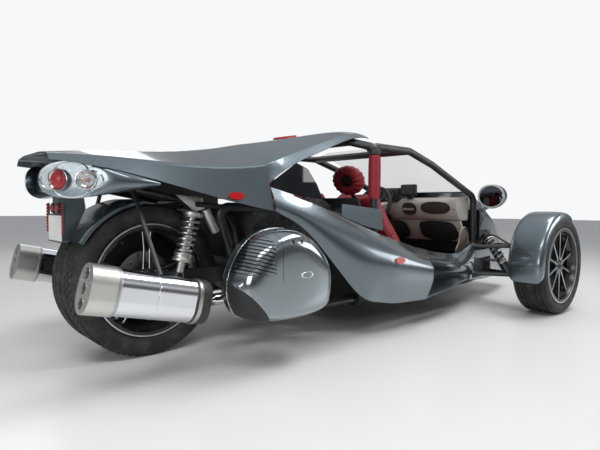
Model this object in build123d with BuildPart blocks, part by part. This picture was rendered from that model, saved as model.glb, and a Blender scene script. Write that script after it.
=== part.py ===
from build123d import *

import os
from collections import namedtuple
from math import cos, radians, sin

os.makedirs("parts", exist_ok=True)

# Overall size and layout, in millimetres. +X is forward, +Y is left, the ground is z = 0.
overall_length = 3505
overall_width = 1981
overall_height = 1067
wheelbase = 2286
rear_overhang = 430

# Wheels and tyres
rear_tyre_radius = 331
rear_tyre_width = 295
rear_rim_radius = 246
rear_rim_width = 272
front_tyre_radius = 300
front_tyre_width = 205
front_rim_radius = 233
front_rim_width = 184
tyre_wall = 13
rim_wall = 9
spoke_pairs = 5
bearing_clearance = 0.06

# Body
skin = 4
seam = 0.6
seat_gap = 0.3
tube_radius = 21
cockpit_half_width = 438
tub_wall = 12
tub_back = 1010
tub_front = 2720
belly_half_width = 650
hoop_x = 1106
hoop_half_width = 452
pillar_half_width = 400

# Front suspension and steering
kingpin_radius = 11
lower_arm_z = 212
upper_arm_z = 402
steer_arm_length = 120
steer_arm_z = 292
rack_radius = 11
rack_x = wheelbase + steer_arm_length
rack_z = steer_arm_z - rack_radius - 0.3

# Side cases
case_inner_y = 486
case_split_y = 562
case_outer_y = 700
case_wall = 4
case_gap = 0.6

# Exhaust
silencer_y = 486
silencer_tail_x = -394
silencer_tail_z = 384
silencer_length = 450
silencer_slope = 13
silencer_height = 170
silencer_width = 125
cap_length = 92

# Chain drive on the left
chain_y = 158
chain_width = 10
chain_height = 9
rear_sprocket_radius = 92
front_sprocket_radius = 40
front_sprocket_x = 482
front_sprocket_z = 312

rear_axle_x = -overall_length / 2 + rear_overhang
front_wheel_y = overall_width / 2 - front_tyre_width / 2
kingpin_y = front_wheel_y - 146
nose_reach = overall_length - rear_overhang

Side = namedtuple("Side", "name sign")
SIDES = (Side("right", -1), Side("left", 1))


def station(x):
    """Upright plane across the vehicle at x forward of the rear axle, facing forward."""
    return Plane.YZ.offset(rear_axle_x + x)


def side_plane(y):
    """Upright plane along the vehicle, its local x forward and its local y up, facing right."""
    return Plane(origin=(rear_axle_x, y, 0), x_dir=(1, 0, 0), z_dir=(0, -1, 0))


def place(x, y, z):
    """A point given forward of the rear axle."""
    return (rear_axle_x + x, y, z)


def inset_run(points, bends, wall):
    """The run that lies one wall to the left of the given run, and its corner bends."""
    spots = [Vector(*point) for point in points]
    ways = [(after - before).normalized() for before, after in zip(spots, spots[1:])]
    lefts = [Vector(-way.Y, way.X) for way in ways]
    inner = [spots[0] + lefts[0] * wall]
    inner_bends = []
    for spot, before, after, bend in zip(spots[1:-1], lefts, lefts[1:], bends):
        inner.append(spot + (before + after) * (wall / (1 + before.dot(after))))
        turns_left = before.cross(after).Z > 0
        inner_bends.append(bend - wall if turns_left else bend + wall)
    inner.append(spots[-1] + lefts[-1] * wall)
    return inner, inner_bends


def skin_section(plane, points, bends, wall):
    """Closed section of a thin skin whose outer face follows the given run."""
    inner, inner_bends = inset_run(points, bends, wall)
    with BuildSketch(plane) as section:
        with BuildLine():
            outer_line = FilletPolyline(*points, radius=bends)
            inner_line = FilletPolyline(*inner, radius=inner_bends)
            Line(outer_line @ 0, inner_line @ 0)
            Line(outer_line @ 1, inner_line @ 1)
        make_face()
    return section.sketch


def full_section(plane, points, bends):
    """Closed section with rounded corners."""
    with BuildSketch(plane) as section:
        with BuildLine():
            FilletPolyline(*points, radius=bends, close=True)
        make_face()
    return section.sketch


def mirrored_run(half):
    """A run from the left side over the top to the right side, from its left half."""
    return list(half) + [(-y, z) for y, z in reversed(half)]


def add_tube(points, radius, bend=0):
    """Add one round tube along straight runs that are joined by arcs."""
    with BuildLine() as path:
        if len(points) > 2:
            FilletPolyline(*points, radius=bend)
        else:
            Line(*points)
    with BuildSketch(Plane(origin=path.line @ 0, z_dir=path.line % 0)) as section:
        Circle(radius)
    sweep(sections=section.sketch, path=path.line)


def add_rod(start, end, radius):
    """Add one straight round bar between two points."""
    way = Vector(*end) - Vector(*start)
    with BuildSketch(Plane(origin=start, z_dir=way)) as section:
        Circle(radius)
    extrude(section.sketch, amount=way.length)


def reach(shape, start, way):
    """How far from start, along way, the shape is, and its surface's normal there."""
    hits = shape.find_intersection_points(Axis(start, way))
    ahead = [((spot - Vector(*start)).dot(Vector(*way).normalized()), normal) for spot, normal in hits]
    return min((hit for hit in ahead if hit[0] > 0), key=lambda hit: hit[0])


def add_post(shape, start, way, radius):
    """Add a bar from start whose flat end stops just short of the shape it carries."""
    line = Vector(*way).normalized()
    distance, normal = reach(shape, start, way)
    facing = abs(line.dot(normal))
    lean = radius * (1 - facing**2) ** 0.5 / facing
    add_rod(start, Vector(*start) + line * (distance - lean - seat_gap), radius)


# Rear body: one moulding, the tail and the roof
# Columns: x, then (y, z) of the lower edge, the shoulder and the roof edge
ShellStation = namedtuple("ShellStation", "x edge shoulder roof")
tail_end = 425
tail_stations = (
    ShellStation(-rear_overhang, (240, 818), (216, 842), (120, 852)),
    ShellStation(-185, (296, 783), (262, 838), (130, 874)),
    ShellStation(119, (362, 706), (322, 822), (150, 897)),
    ShellStation(tail_end, (452, 634), (386, 842), (195, 948)),
)
roof_stations = (
    ShellStation(tail_end, (414, 755), (386, 842), (195, 948)),
    ShellStation(590, (424, 862), (384, 905), (235, 978)),
    ShellStation(790, (402, 938), (366, 972), (270, 1020)),
    ShellStation(960, (388, 1000), (352, 1026), (285, 1052)),
    ShellStation(1140, (378, 1028), (345, 1047), (280, overall_height)),
)
shell_bends = [24, 50, 50, 24]


def shell_loft(stations):
    """Add the skin that runs over the vehicle from edge to edge through the stations."""
    sections = []
    for spot in stations:
        run = mirrored_run([spot.edge, spot.shoulder, spot.roof])
        sections.append(skin_section(station(spot.x), run, shell_bends, skin))
    loft(sections=sections)


with BuildPart() as rear_body:
    shell_loft(tail_stations)
    shell_loft(roof_stations)

rear_body.part.label = "rear_body"
export_step(rear_body.part, "parts/rear_body.step")

# Nose cowl, from the cockpit to the tip, open below
cowl_back = 2130
cowl_stations = (
    ShellStation(cowl_back, (452, 168), (462, 575), (400, 752)),
    ShellStation(2417, (428, 150), (428, 590), (300, 742)),
    ShellStation(2700, (368, 148), (342, 485), (238, 612)),
    ShellStation(2940, (305, 152), (268, 335), (178, 415)),
    ShellStation(nose_reach, (262, 176), (230, 232), (140, 262)),
)
# Columns: x, z of the cockpit's side opening, cut through the cowl
cockpit_cut = ((2060, 423), (2131, 423), (2225, 500), (2314, 615), (2268, 700), (2235, 900), (2060, 900))

# The cowl's outer form as one solid, which the windscreen and the mirrors are fitted to
with BuildPart() as cowl_form:
    cowl_sections = []
    for spot in cowl_stations:
        run = mirrored_run([spot.edge, spot.shoulder, spot.roof])
        cowl_sections.append(full_section(station(spot.x), run, [0] + shell_bends + [0]))
    loft(sections=cowl_sections)

# Columns: x of the back, half the distance between the pair, height
Headlamp = namedtuple("Headlamp", "x y z")
headlamp_places = (Headlamp(2790, 250, 470), Headlamp(2880, 262, 380))
headlamp_radius = 44
headlamp_length = 70

# Slots in the cowl's sides that the wishbones, the damper and the tie rod pass through
ArmSlot = namedtuple("ArmSlot", "middle length height")
arm_slots = (
    ArmSlot((wheelbase + 15, 240), 330, 130),
    ArmSlot((wheelbase, 430), 320, 140),
)

with BuildPart() as nose_cowl:
    shell_loft(cowl_stations)
    for slot in arm_slots:
        with BuildSketch(side_plane(-600)) as arm_slot:
            with Locations(slot.middle):
                RectangleRounded(slot.length, slot.height, 18)
        extrude(arm_slot.sketch, amount=-1200, mode=Mode.SUBTRACT)
    with BuildSketch(side_plane(-600)):
        with BuildLine():
            FilletPolyline(*cockpit_cut, radius=12, close=True)
        make_face()
    extrude(amount=-1200, mode=Mode.SUBTRACT)

    for side in SIDES:
        for lamp in headlamp_places:
            with BuildSketch(station(lamp.x - 20)) as lamp_hole:
                with Locations((side.sign * lamp.y, lamp.z)):
                    Circle(headlamp_radius + seat_gap)
            extrude(lamp_hole.sketch, amount=200, mode=Mode.SUBTRACT)

nose_cowl.part.label = "nose_cowl"
export_step(nose_cowl.part, "parts/nose_cowl.step")

# Side panel: belt, crease, belly and the turned-in bottom, right side then its mirror image
PanelStation = namedtuple("PanelStation", "x top crease belly bottom")
panel_front = 1375
panel_stations = (
    PanelStation(tail_end + seam, (-418, 738), (-456, 672), (-459, 650), (-454, 632)),
    PanelStation(560, (-440, 692), (-495, 628), (-502, 604), (-497, 574)),
    PanelStation(738, (-470, 640), (-548, 541), (-562, 470), (-543, 391)),
    PanelStation(877, (-488, 580), (-583, 494), (-612, 390), (-582, 200)),
    PanelStation(1100, (-498, 505), (-628, 424), (-belly_half_width, 320), (-590, 170)),
    PanelStation(panel_front, (-498, 432), (-641, 352), (-belly_half_width, 270), (-602, 162)),
)
# Sill panel: ahead of the scoop, the strakes run together into the cockpit's side
SillStation = namedtuple("SillStation", "x top strake web_top web_bottom foot")
sill_stations = (
    SillStation(panel_front + seam, (-498, 430), (-639, 350), (-482, 326), (-482, 206), (-600, 166)),
    SillStation(1640, (-492, 372), (-592, 312), (-470, 290), (-470, 205), (-585, 176)),
    SillStation(1910, (-478, 342), (-538, 274), (-466, 256), (-466, 210), (-532, 188)),
    SillStation(cowl_back - seam, (-462, 420), (-474, 330), (-464, 258), (-460, 212), (-454, 168)),
)
flank_panels = {}
for side in SIDES:
    with BuildPart() as side_panel:
        sections = []
        for spot in panel_stations:
            run = [spot.top, spot.crease, spot.belly, spot.bottom]
            sections.append(skin_section(station(spot.x), run, [8, 8], skin))
        loft(sections=sections)
        if side.sign > 0:
            mirror(about=Plane.XZ, mode=Mode.REPLACE)
    flank_panels[side.name] = side_panel.part
    side_panel.part.label = f"side_panel_{side.name}"
    export_step(side_panel.part, f"parts/side_panel_{side.name}.step")

    with BuildPart() as sill_panel:
        sections = []
        for spot in sill_stations:
            run = [spot.top, spot.strake, spot.web_top, spot.web_bottom, spot.foot]
            sections.append(skin_section(station(spot.x), run, [6, 6, 6], skin))
        loft(sections=sections)
        if side.sign > 0:
            mirror(about=Plane.XZ, mode=Mode.REPLACE)
    sill_panel.part.label = f"sill_panel_{side.name}"
    export_step(sill_panel.part, f"parts/sill_panel_{side.name}.step")

# Cockpit tub: floor and side walls in one, with an upright wall behind the seats
TubStation = namedtuple("TubStation", "x half_width wall_top")
floor_z = 128
tub_stations = (
    TubStation(tub_back, cockpit_half_width, 470),
    TubStation(1500, cockpit_half_width, 385),
    TubStation(1900, cockpit_half_width - 4, 330),
    TubStation(2180, 425, 420),
    TubStation(tub_front, 322, 420),
)
bulkhead_top = 930


def tub_half_width(x):
    """Half the tub's width at x, between its stations."""
    for back, front in zip(tub_stations, tub_stations[1:]):
        if back.x <= x <= front.x:
            share = (x - back.x) / (front.x - back.x)
            return back.half_width + share * (front.half_width - back.half_width)
    return tub_stations[-1].half_width


with BuildPart() as cockpit_tub:
    sections = []
    for spot in tub_stations:
        low = floor_z + 30
        run = [(-spot.half_width, spot.wall_top), (-spot.half_width, low), (-spot.half_width + 30, floor_z)]
        run = run + [(-y, z) for y, z in reversed(run)]
        sections.append(skin_section(station(spot.x), run, [20, 20, 20, 20], tub_wall))
    loft(sections=sections, ruled=True)
    with BuildSketch(station(tub_back)):
        with BuildLine():
            FilletPolyline(
                (-cockpit_half_width, 200),
                (-cockpit_half_width, 640),
                (-330, bulkhead_top),
                (330, bulkhead_top),
                (cockpit_half_width, 640),
                (cockpit_half_width, 200),
                (cockpit_half_width - 60, floor_z + 2),
                (-cockpit_half_width + 60, floor_z + 2),
                radius=20,
                close=True,
            )
        make_face()
    extrude(amount=tub_wall)
    front_wall_half = tub_stations[-1].half_width - 4
    with BuildSketch(station(tub_front)):
        with Locations((0, (floor_z + 420) / 2 + 2)):
            Rectangle(2 * front_wall_half - 40, 420 - floor_z - 4)
    extrude(amount=-tub_wall)

    for side in SIDES:
        for mount_x, mount_z in ((1070, 436), (1300, 400)):
            start = place(mount_x, side.sign * (cockpit_half_width - 4), mount_z)
            add_post(flank_panels[side.name], start, (0, side.sign, 0), 9)

    with BuildSketch(side_plane(-cockpit_half_width - 20)) as rack_hole:
        with Locations((rack_x, rack_z)):
            Circle(rack_radius + 7)
    extrude(rack_hole.sketch, amount=-2 * cockpit_half_width - 40, mode=Mode.SUBTRACT)

cockpit_tub.part.label = "cockpit_tub"
export_step(cockpit_tub.part, "parts/cockpit_tub.step")

# Rails: a lower frame beside the engine, under the seats the tub rests between its tubes
rail_z = 165
rail_y = 240
rail_wide_y = 395
upright_x = 262
rail_foot_x = 470
rail_foot_z = 190
case_brackets = ((336, 450), (399, 300))
bracket_radius = 10
top_cross_x = 332
cross_radius = 16
engine_low_z = 180.7
pivot_x = 380
pivot_z = 340
shock_top = (166, -218, 660)
shock_bottom = (84, -218, rear_tyre_radius + 20)
shock_pin_radius = 13
bracket_y = 245
with BuildPart() as chassis_rails:
    for side in SIDES:
        y = side.sign
        add_tube(
            [
                place(tub_back - seat_gap, y * rail_wide_y, rail_z),
                place(820, y * rail_wide_y, rail_z),
                place(rail_foot_x, y * rail_y, rail_foot_z),
                place(pivot_x, y * rail_y, pivot_z - 10),
                place(upright_x, y * rail_y, 650),
                place(700, y * 360, 640),
                place(900, y * rail_wide_y, 600),
                place(tub_back - seat_gap, y * rail_wide_y, 600),
            ],
            tube_radius,
            40,
        )
        for bracket_x, bracket_z in case_brackets:
            add_rod(
                place(bracket_x, y * rail_y, bracket_z),
                place(bracket_x, y * (case_inner_y - seat_gap), bracket_z),
                bracket_radius,
            )
    add_rod(place(top_cross_x, -258, 646), place(top_cross_x, 258, 646), cross_radius)
    add_rod(place(600, -297, engine_low_z), place(600, 297, engine_low_z), 14)
    add_rod(place(880, -rail_wide_y, rail_z), place(880, rail_wide_y, rail_z), cross_radius)
    add_rod(place(300, -bracket_y, 648), place(shock_top[0], -bracket_y, shock_top[2]), 12)
    shock_eye = place(shock_top[0], -bracket_y, shock_top[2])
    add_rod(shock_eye, place(shock_top[0], -205, shock_top[2]), shock_pin_radius)

chassis_rails.part.label = "chassis_rails"
export_step(chassis_rails.part, "parts/chassis_rails.step")

# Roll cage: the hoop behind the seats and the two windscreen pillars
hoop_foot_z = 480
with BuildPart() as roll_cage:
    add_tube(
        [
            place(hoop_x, -hoop_half_width, hoop_foot_z),
            place(hoop_x, -hoop_half_width, 968),
            place(hoop_x - 70, -336, 1002),
            place(hoop_x - 70, 336, 1002),
            place(hoop_x, hoop_half_width, 968),
            place(hoop_x, hoop_half_width, hoop_foot_z),
        ],
        tube_radius,
        36,
    )
    for side in SIDES:
        y = side.sign
        add_tube(
            [
                place(hoop_x - 10, y * 425, 962),
                place(1180, y * 402, 982),
                place(1480, y * pillar_half_width, 982),
                place(1722, y * pillar_half_width, 916),
                place(2234, y * pillar_half_width, 728),
                place(2242, y * pillar_half_width, 422),
            ],
            tube_radius,
            60,
        )
        add_post(rear_body.part, place(hoop_x - 70, y * 300, 1002), (0, 0, 1), 12)
    add_rod(place(1480, -pillar_half_width, 982), place(1480, pillar_half_width, 982), tube_radius)

roll_cage.part.label = "roll_cage"
export_step(roll_cage.part, "parts/roll_cage.step")

# Windscreen: one curved sheet between the pillars, its lower edge cut to the cowl
GlassStation = namedtuple("GlassStation", "x edge shoulder")
glass_wall = 5
glass_stations = (
    GlassStation(1500, (368, 1008), (290, 1026)),
    GlassStation(1875, (368, 878), (295, 935)),
    GlassStation(2210, (368, 752), (300, 815)),
    GlassStation(2460, (240, 722), (190, 738)),
)
with BuildPart() as windscreen:
    sections = []
    for spot in glass_stations:
        run = mirrored_run([spot.edge, spot.shoulder])
        sections.append(skin_section(station(spot.x), run, [45, 45], glass_wall))
    loft(sections=sections)

    add(cowl_form.part, mode=Mode.SUBTRACT)

windscreen.part.label = "windscreen"
export_step(windscreen.part, "parts/windscreen.step")

# Quarter windows: dark panes between the roof and the belt
quarter_outline = ((430, 739), (438, 764), (580, 855.2), (652, 832), (712, 760), (752, 690), (600, 700))
quarter_y = 415.7
for side in SIDES:
    with BuildPart() as quarter_window:
        with BuildSketch(side_plane(side.sign * quarter_y)):
            with BuildLine():
                FilletPolyline(*quarter_outline, radius=5, close=True)
            make_face()
        extrude(amount=-side.sign * glass_wall)
    quarter_window.part.label = f"quarter_window_{side.name}"
    export_step(quarter_window.part, f"parts/quarter_window_{side.name}.step")


def wheel_plane(x, y, z):
    """Plane through a wheel's axis, local x along the axle to the left and local y up."""
    return Plane(origin=place(x, y, z), x_dir=(0, 1, 0), z_dir=(1, 0, 0))


def wheel_axis(x, y, z):
    """The axle line of a wheel."""
    return Axis(place(x, y, z), (0, 1, 0))


def add_tyre(x, y, z, radius, width, rim_radius, rim_width):
    """Add one hollow tyre with rounded shoulders, open at the rim."""
    height = radius - rim_radius
    half = width / 2
    bead = rim_width / 2 - rim_flange - seat_gap
    half_run = [
        (bead, rim_radius - bead_step + seat_gap),
        (bead, rim_radius + 3),
        (half, rim_radius + 0.42 * height),
        (half - 4, radius - 0.25 * height),
        (half - 28, radius),
    ]
    profile = skin_section(wheel_plane(x, y, z), mirrored_run(half_run), [15] * 8, tyre_wall)
    revolve(profile, axis=wheel_axis(x, y, z))


def add_rim(x, y, z, radius, width, outer_side, face_depth, spoke_reach, disc_depth, disc_radius, hub_depth, cap):
    """Add one rim: barrel with flanges, hub, paired spokes near the outer face and a brake disc."""
    half = width / 2
    seat = radius - bead_step
    well = seat - 20
    plane = wheel_plane(x, y, z)
    axis = wheel_axis(x, y, z)
    with BuildSketch(plane) as barrel:
        Polygon(
            (half, radius),
            (half - rim_flange, radius),
            (half - rim_flange, seat),
            (half - 28, seat - 2),
            (half - 46, well),
            (46 - half, well),
            (28 - half, seat - 2),
            (rim_flange - half, seat),
            (rim_flange - half, radius),
            (-half, radius),
            (-half, seat - rim_wall),
            (28 - half, seat - rim_wall - 3),
            (46 - half, well - rim_wall),
            (half - 46, well - rim_wall),
            (half - 28, seat - rim_wall - 3),
            (half, seat - rim_wall),
            align=None,
        )
    revolve(barrel.sketch, axis=axis)
    spoke_y = y + outer_side * (half - face_depth)
    disc_y = y + outer_side * (half - disc_depth)
    with BuildSketch(side_plane(spoke_y)) as spokes:
        with Locations((x, z)):
            with PolarLocations(0, spoke_pairs, start_angle=90):
                for lean in (-1, 1):
                    Polygon(
                        (30, lean * 6),
                        (spoke_reach, lean * spoke_spread),
                        (spoke_reach, lean * (spoke_spread + 15)),
                        (30, lean * 26),
                        align=None,
                    )
            Circle(hub_radius)
    extrude(spokes.sketch, amount=spoke_depth / 2, both=True)
    with BuildSketch(side_plane(disc_y)) as disc:
        with Locations((x, z)):
            Circle(disc_radius)
    extrude(disc.sketch, amount=disc_wall / 2, both=True)
    hub_end_y = y + outer_side * (half - hub_depth)
    with BuildSketch(side_plane(spoke_y)) as hub:
        with Locations((x, z)):
            Circle(hub_radius - 8)
    extrude(hub.sketch, amount=spoke_y - hub_end_y)
    with BuildSketch(side_plane(hub_end_y)) as hole:
        with Locations((x, z)):
            Circle(axle_radius + bearing_clearance)
    bore_length = hub_depth - face_depth + spoke_depth / 2 - cap
    extrude(hole.sketch, amount=-outer_side * bore_length, mode=Mode.SUBTRACT)


rim_flange = 6
bead_step = 13
hub_radius = 48
hub_cap = 4
spoke_spread = 16
spoke_depth = 16
disc_wall = 7
axle_radius = 14
rear_axle_z = rear_tyre_radius
front_axle_z = front_tyre_radius
front_disc_depth = 135
front_disc_radius = 145
rear_disc_depth = 85

with BuildPart() as rear_tyre:
    add_tyre(0, 0, rear_axle_z, rear_tyre_radius, rear_tyre_width, rear_rim_radius, rear_rim_width)

rear_tyre.part.label = "rear_tyre"
export_step(rear_tyre.part, "parts/rear_tyre.step")

with BuildPart() as rear_rim:
    add_rim(
        0,
        0,
        rear_axle_z,
        rear_rim_radius,
        rear_rim_width,
        -1,
        40,
        rear_rim_radius - bead_step - 25,
        rear_disc_depth,
        120,
        rear_rim_width / 2 + chain_y + chain_width,
        0,
    )
    with BuildSketch(side_plane(chain_y + 2)) as sprocket:
        with Locations((0, rear_axle_z)):
            Circle(rear_sprocket_radius - chain_height)
            Circle(hub_radius - 10, mode=Mode.SUBTRACT)
    extrude(sprocket.sketch, amount=-chain_width + 4)

rear_rim.part.label = "rear_rim"
export_step(rear_rim.part, "parts/rear_rim.step")

for side in SIDES:
    wheel_y = side.sign * front_wheel_y
    with BuildPart() as front_tyre:
        add_tyre(
            wheelbase,
            wheel_y,
            front_axle_z,
            front_tyre_radius,
            front_tyre_width,
            front_rim_radius,
            front_rim_width,
        )
    front_tyre.part.label = f"front_tyre_{side.name}"
    export_step(front_tyre.part, f"parts/front_tyre_{side.name}.step")

    with BuildPart() as front_rim:
        add_rim(
            wheelbase,
            wheel_y,
            front_axle_z,
            front_rim_radius,
            front_rim_width,
            side.sign,
            22,
            front_rim_radius - bead_step - 8,
            front_disc_depth,
            front_disc_radius,
            front_disc_depth + disc_wall / 2,
            hub_cap,
        )
    front_rim.part.label = f"front_rim_{side.name}"
    export_step(front_rim.part, f"parts/front_rim_{side.name}.step")

# Front corners: wishbones, coil-over damper, then the steered upright with its caliper and fender
arm_radius = 13
eye_radius = 24
eye_height = 30
arm_spread = 128
damper_radius = 30
fender_radius = 322
fender_wall = 3
fender_inner_y = front_wheel_y - 115
fender_outer_y = front_wheel_y + 97
fender_back = 193
fender_front = 62
caliper_gap = 1.5

for side in SIDES:
    y = side.sign
    with BuildPart() as suspension:
        for arm_z, root_z in ((lower_arm_z, 205), (upper_arm_z, 392)):
            for lean in (-1, 1):
                root_x = wheelbase + lean * arm_spread
                add_rod(
                    place(root_x, y * (tub_half_width(root_x) + 14.5), root_z),
                    place(wheelbase + lean * 12, y * (kingpin_y - 16), arm_z),
                    arm_radius,
                )
            with BuildSketch(Plane(origin=place(wheelbase, y * kingpin_y, arm_z))):
                Circle(eye_radius)
            extrude(amount=eye_height / 2, both=True)
        add_rod(place(wheelbase, y * 640, lower_arm_z + 6), place(wheelbase, y * 470, 470), damper_radius)
        add_rod(place(wheelbase - 52, y * 645, lower_arm_z), place(wheelbase + 52, y * 645, lower_arm_z), 11)
        damper_root = tub_half_width(wheelbase) + 11.1
        add_rod(place(wheelbase, y * 470, 470), place(wheelbase, y * damper_root, 410), 14)
        for arm_z in (lower_arm_z, upper_arm_z):
            with BuildSketch(Plane(origin=place(wheelbase, y * kingpin_y, arm_z - 60))):
                Circle(kingpin_radius + bearing_clearance)
            extrude(amount=120, mode=Mode.SUBTRACT)
    suspension.part.label = f"suspension_{side.name}"
    export_step(suspension.part, f"parts/suspension_{side.name}.step")

    disc_y = front_wheel_y + front_rim_width / 2 - front_disc_depth
    with BuildPart() as knuckle:
        add_rod(
            place(wheelbase, y * kingpin_y, lower_arm_z - eye_height / 2 - 4),
            place(wheelbase, y * kingpin_y, upper_arm_z + eye_height / 2 + 4),
            kingpin_radius,
        )
        post_low = lower_arm_z + eye_height / 2 + seat_gap
        post_high = upper_arm_z - eye_height / 2 - seat_gap
        add_rod(place(wheelbase, y * kingpin_y, post_low), place(wheelbase, y * kingpin_y, post_high), 22)
        add_rod(
            place(wheelbase, y * kingpin_y, front_axle_z),
            place(wheelbase, y * (disc_y - 14), front_axle_z),
            34,
        )
        spoke_y = front_wheel_y + front_rim_width / 2 - 22
        add_rod(
            place(wheelbase, y * kingpin_y, front_axle_z),
            place(wheelbase, y * (spoke_y - 20), front_axle_z),
            axle_radius,
        )
        with BuildSketch(Plane(origin=place(wheelbase, y * kingpin_y, steer_arm_z))):
            with Locations((steer_arm_length / 2, 0)):
                Rectangle(steer_arm_length + 20, 26)
        extrude(amount=12)
        caliper_spot = (wheelbase, front_axle_z)
        with BuildSketch(side_plane(y * (disc_y - 30))) as caliper:
            with Locations(caliper_spot):
                with PolarLocations(138, 1, start_angle=150):
                    Rectangle(72, 96)
        extrude(caliper.sketch, amount=-y * 52)
        with BuildSketch(side_plane(y * (disc_y - disc_wall / 2 - caliper_gap))) as disc_slot:
            with Locations(caliper_spot):
                Circle(front_disc_radius + caliper_gap)
                Circle(60, mode=Mode.SUBTRACT)
        extrude(disc_slot.sketch, amount=-y * (disc_wall + 2 * caliper_gap), mode=Mode.SUBTRACT)
        reach_x, reach_z = 118 * cos(radians(150)), 118 * sin(radians(150))
        add_rod(
            place(wheelbase, y * (disc_y - 20), front_axle_z),
            place(wheelbase + reach_x, y * (disc_y - 20), front_axle_z + reach_z),
            13,
        )
        fender_end = place(wheelbase - 136, y * (fender_inner_y - 7.2), 545)
        add_rod(place(wheelbase - 10, y * (kingpin_y + 10), 350), fender_end, 7)
    knuckle.part.label = f"knuckle_{side.name}"
    export_step(knuckle.part, f"parts/knuckle_{side.name}.step")

    with BuildPart() as front_fender:
        run = [
            (fender_inner_y, fender_radius - 46),
            (fender_inner_y, fender_radius),
            (fender_outer_y, fender_radius),
            (fender_outer_y, fender_radius - 6),
        ]
        run = [(y * spot_y, up) for spot_y, up in run]
        if y > 0:
            run = run[::-1]
        start = Plane(origin=place(wheelbase, 0, front_axle_z), x_dir=(0, 1, 0), z_dir=(1, 0, 0))
        profile = skin_section(start, run, [20, 4] if y < 0 else [4, 20], fender_wall)
        revolve(
            profile.rotate(wheel_axis(wheelbase, 0, front_axle_z), 90 - fender_front),
            axis=wheel_axis(wheelbase, 0, front_axle_z),
            revolution_arc=-(fender_back - fender_front),
        )
    front_fender.part.label = f"front_fender_{side.name}"
    export_step(front_fender.part, f"parts/front_fender_{side.name}.step")

# Steering rack: one bar across the cockpit, its ends under the steering arms
with BuildPart() as steering_rack:
    add_rod(place(rack_x, -kingpin_y, rack_z), place(rack_x, kingpin_y, rack_z), rack_radius)

steering_rack.part.label = "steering_rack"
export_step(steering_rack.part, "parts/steering_rack.step")

# Steering wheel: rim, three spokes, boss and the shaft that runs into its column
wheel_tilt = 22
steer_wheel_spot = (1900, 212, 655)
steer_wheel_radius = 145
shaft_radius = 11
shaft_length = 170
column_way = (cos(radians(wheel_tilt)), 0, -sin(radians(wheel_tilt)))
steer_plane = Plane(origin=place(*steer_wheel_spot), x_dir=(0, 1, 0), z_dir=column_way)
with BuildPart() as steering_wheel:
    rim_plane = Plane(origin=steer_plane.origin, x_dir=(0, 1, 0), z_dir=steer_plane.y_dir)
    with BuildSketch(rim_plane) as rim_section:
        with Locations((steer_wheel_radius, 0)):
            Ellipse(15, 17)
    revolve(rim_section.sketch, axis=Axis(steer_plane.origin, steer_plane.z_dir))
    with BuildSketch(steer_plane) as spokes:
        with PolarLocations(0, 3, start_angle=0):
            with Locations((steer_wheel_radius / 2, 0)):
                Rectangle(steer_wheel_radius, 30)
        Circle(42)
    extrude(spokes.sketch, amount=5, both=True)
    with BuildSketch(steer_plane) as shaft:
        Circle(shaft_radius)
    extrude(shaft.sketch, amount=shaft_length)

steering_wheel.part.label = "steering_wheel"
export_step(steering_wheel.part, "parts/steering_wheel.step")

# Dashboard: a hollow-fronted beam across the cockpit, the instrument hood and the steering column
dash_half_width = pillar_half_width - 16.9
dash_front = 2212
dash_outline = ((2045, 648), (2085, 716), (dash_front, 724), (dash_front, 560), (2090, 560))
with BuildPart() as dashboard:
    with BuildSketch(side_plane(-dash_half_width)) as beam:
        with BuildLine():
            FilletPolyline(*dash_outline, radius=14, close=True)
        make_face()
    extrude(beam.sketch, amount=-2 * dash_half_width)
    hood_y = steer_wheel_spot[1]
    with BuildSketch(side_plane(hood_y - 115)) as hood:
        with BuildLine():
            hood_outline = ((2035, 690), (2030, 780), (2075, 790), (2205, 722), (2120, 690))
            FilletPolyline(*hood_outline, radius=8, close=True)
        make_face()
    extrude(hood.sketch, amount=-230)
    column_start = steer_plane.origin + steer_plane.z_dir * 70
    with BuildSketch(Plane(origin=column_start, z_dir=column_way)) as column:
        Circle(24)
    extrude(column.sketch, amount=190)
    with BuildSketch(Plane(origin=column_start, z_dir=column_way)) as column_bore:
        Circle(shaft_radius + bearing_clearance)
    extrude(column_bore.sketch, amount=shaft_length - 65, mode=Mode.SUBTRACT)

dashboard.part.label = "dashboard"
export_step(dashboard.part, "parts/dashboard.step")

# Pedals: three arms on one cross tube
pedal_x = 2640
with BuildPart() as pedals:
    add_rod(place(pedal_x + 40, 20, 340), place(pedal_x + 40, 308, 340), 10)
    add_rod(place(pedal_x + 40, 170, 340), place(tub_front - tub_wall - seat_gap, 170, 340), 8)
    for pedal_y, pedal_height in ((300, 80), (190, 80), (80, 130)):
        with BuildSketch(station(pedal_x)) as pad:
            with Locations((pedal_y, 392)):
                RectangleRounded(46, pedal_height, 6)
        extrude(pad.sketch, amount=8)
        add_rod(place(pedal_x + 4, pedal_y, 380), place(pedal_x + 40, pedal_y, 340), 7)

pedals.part.label = "pedals"
export_step(pedals.part, "parts/pedals.step")

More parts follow.
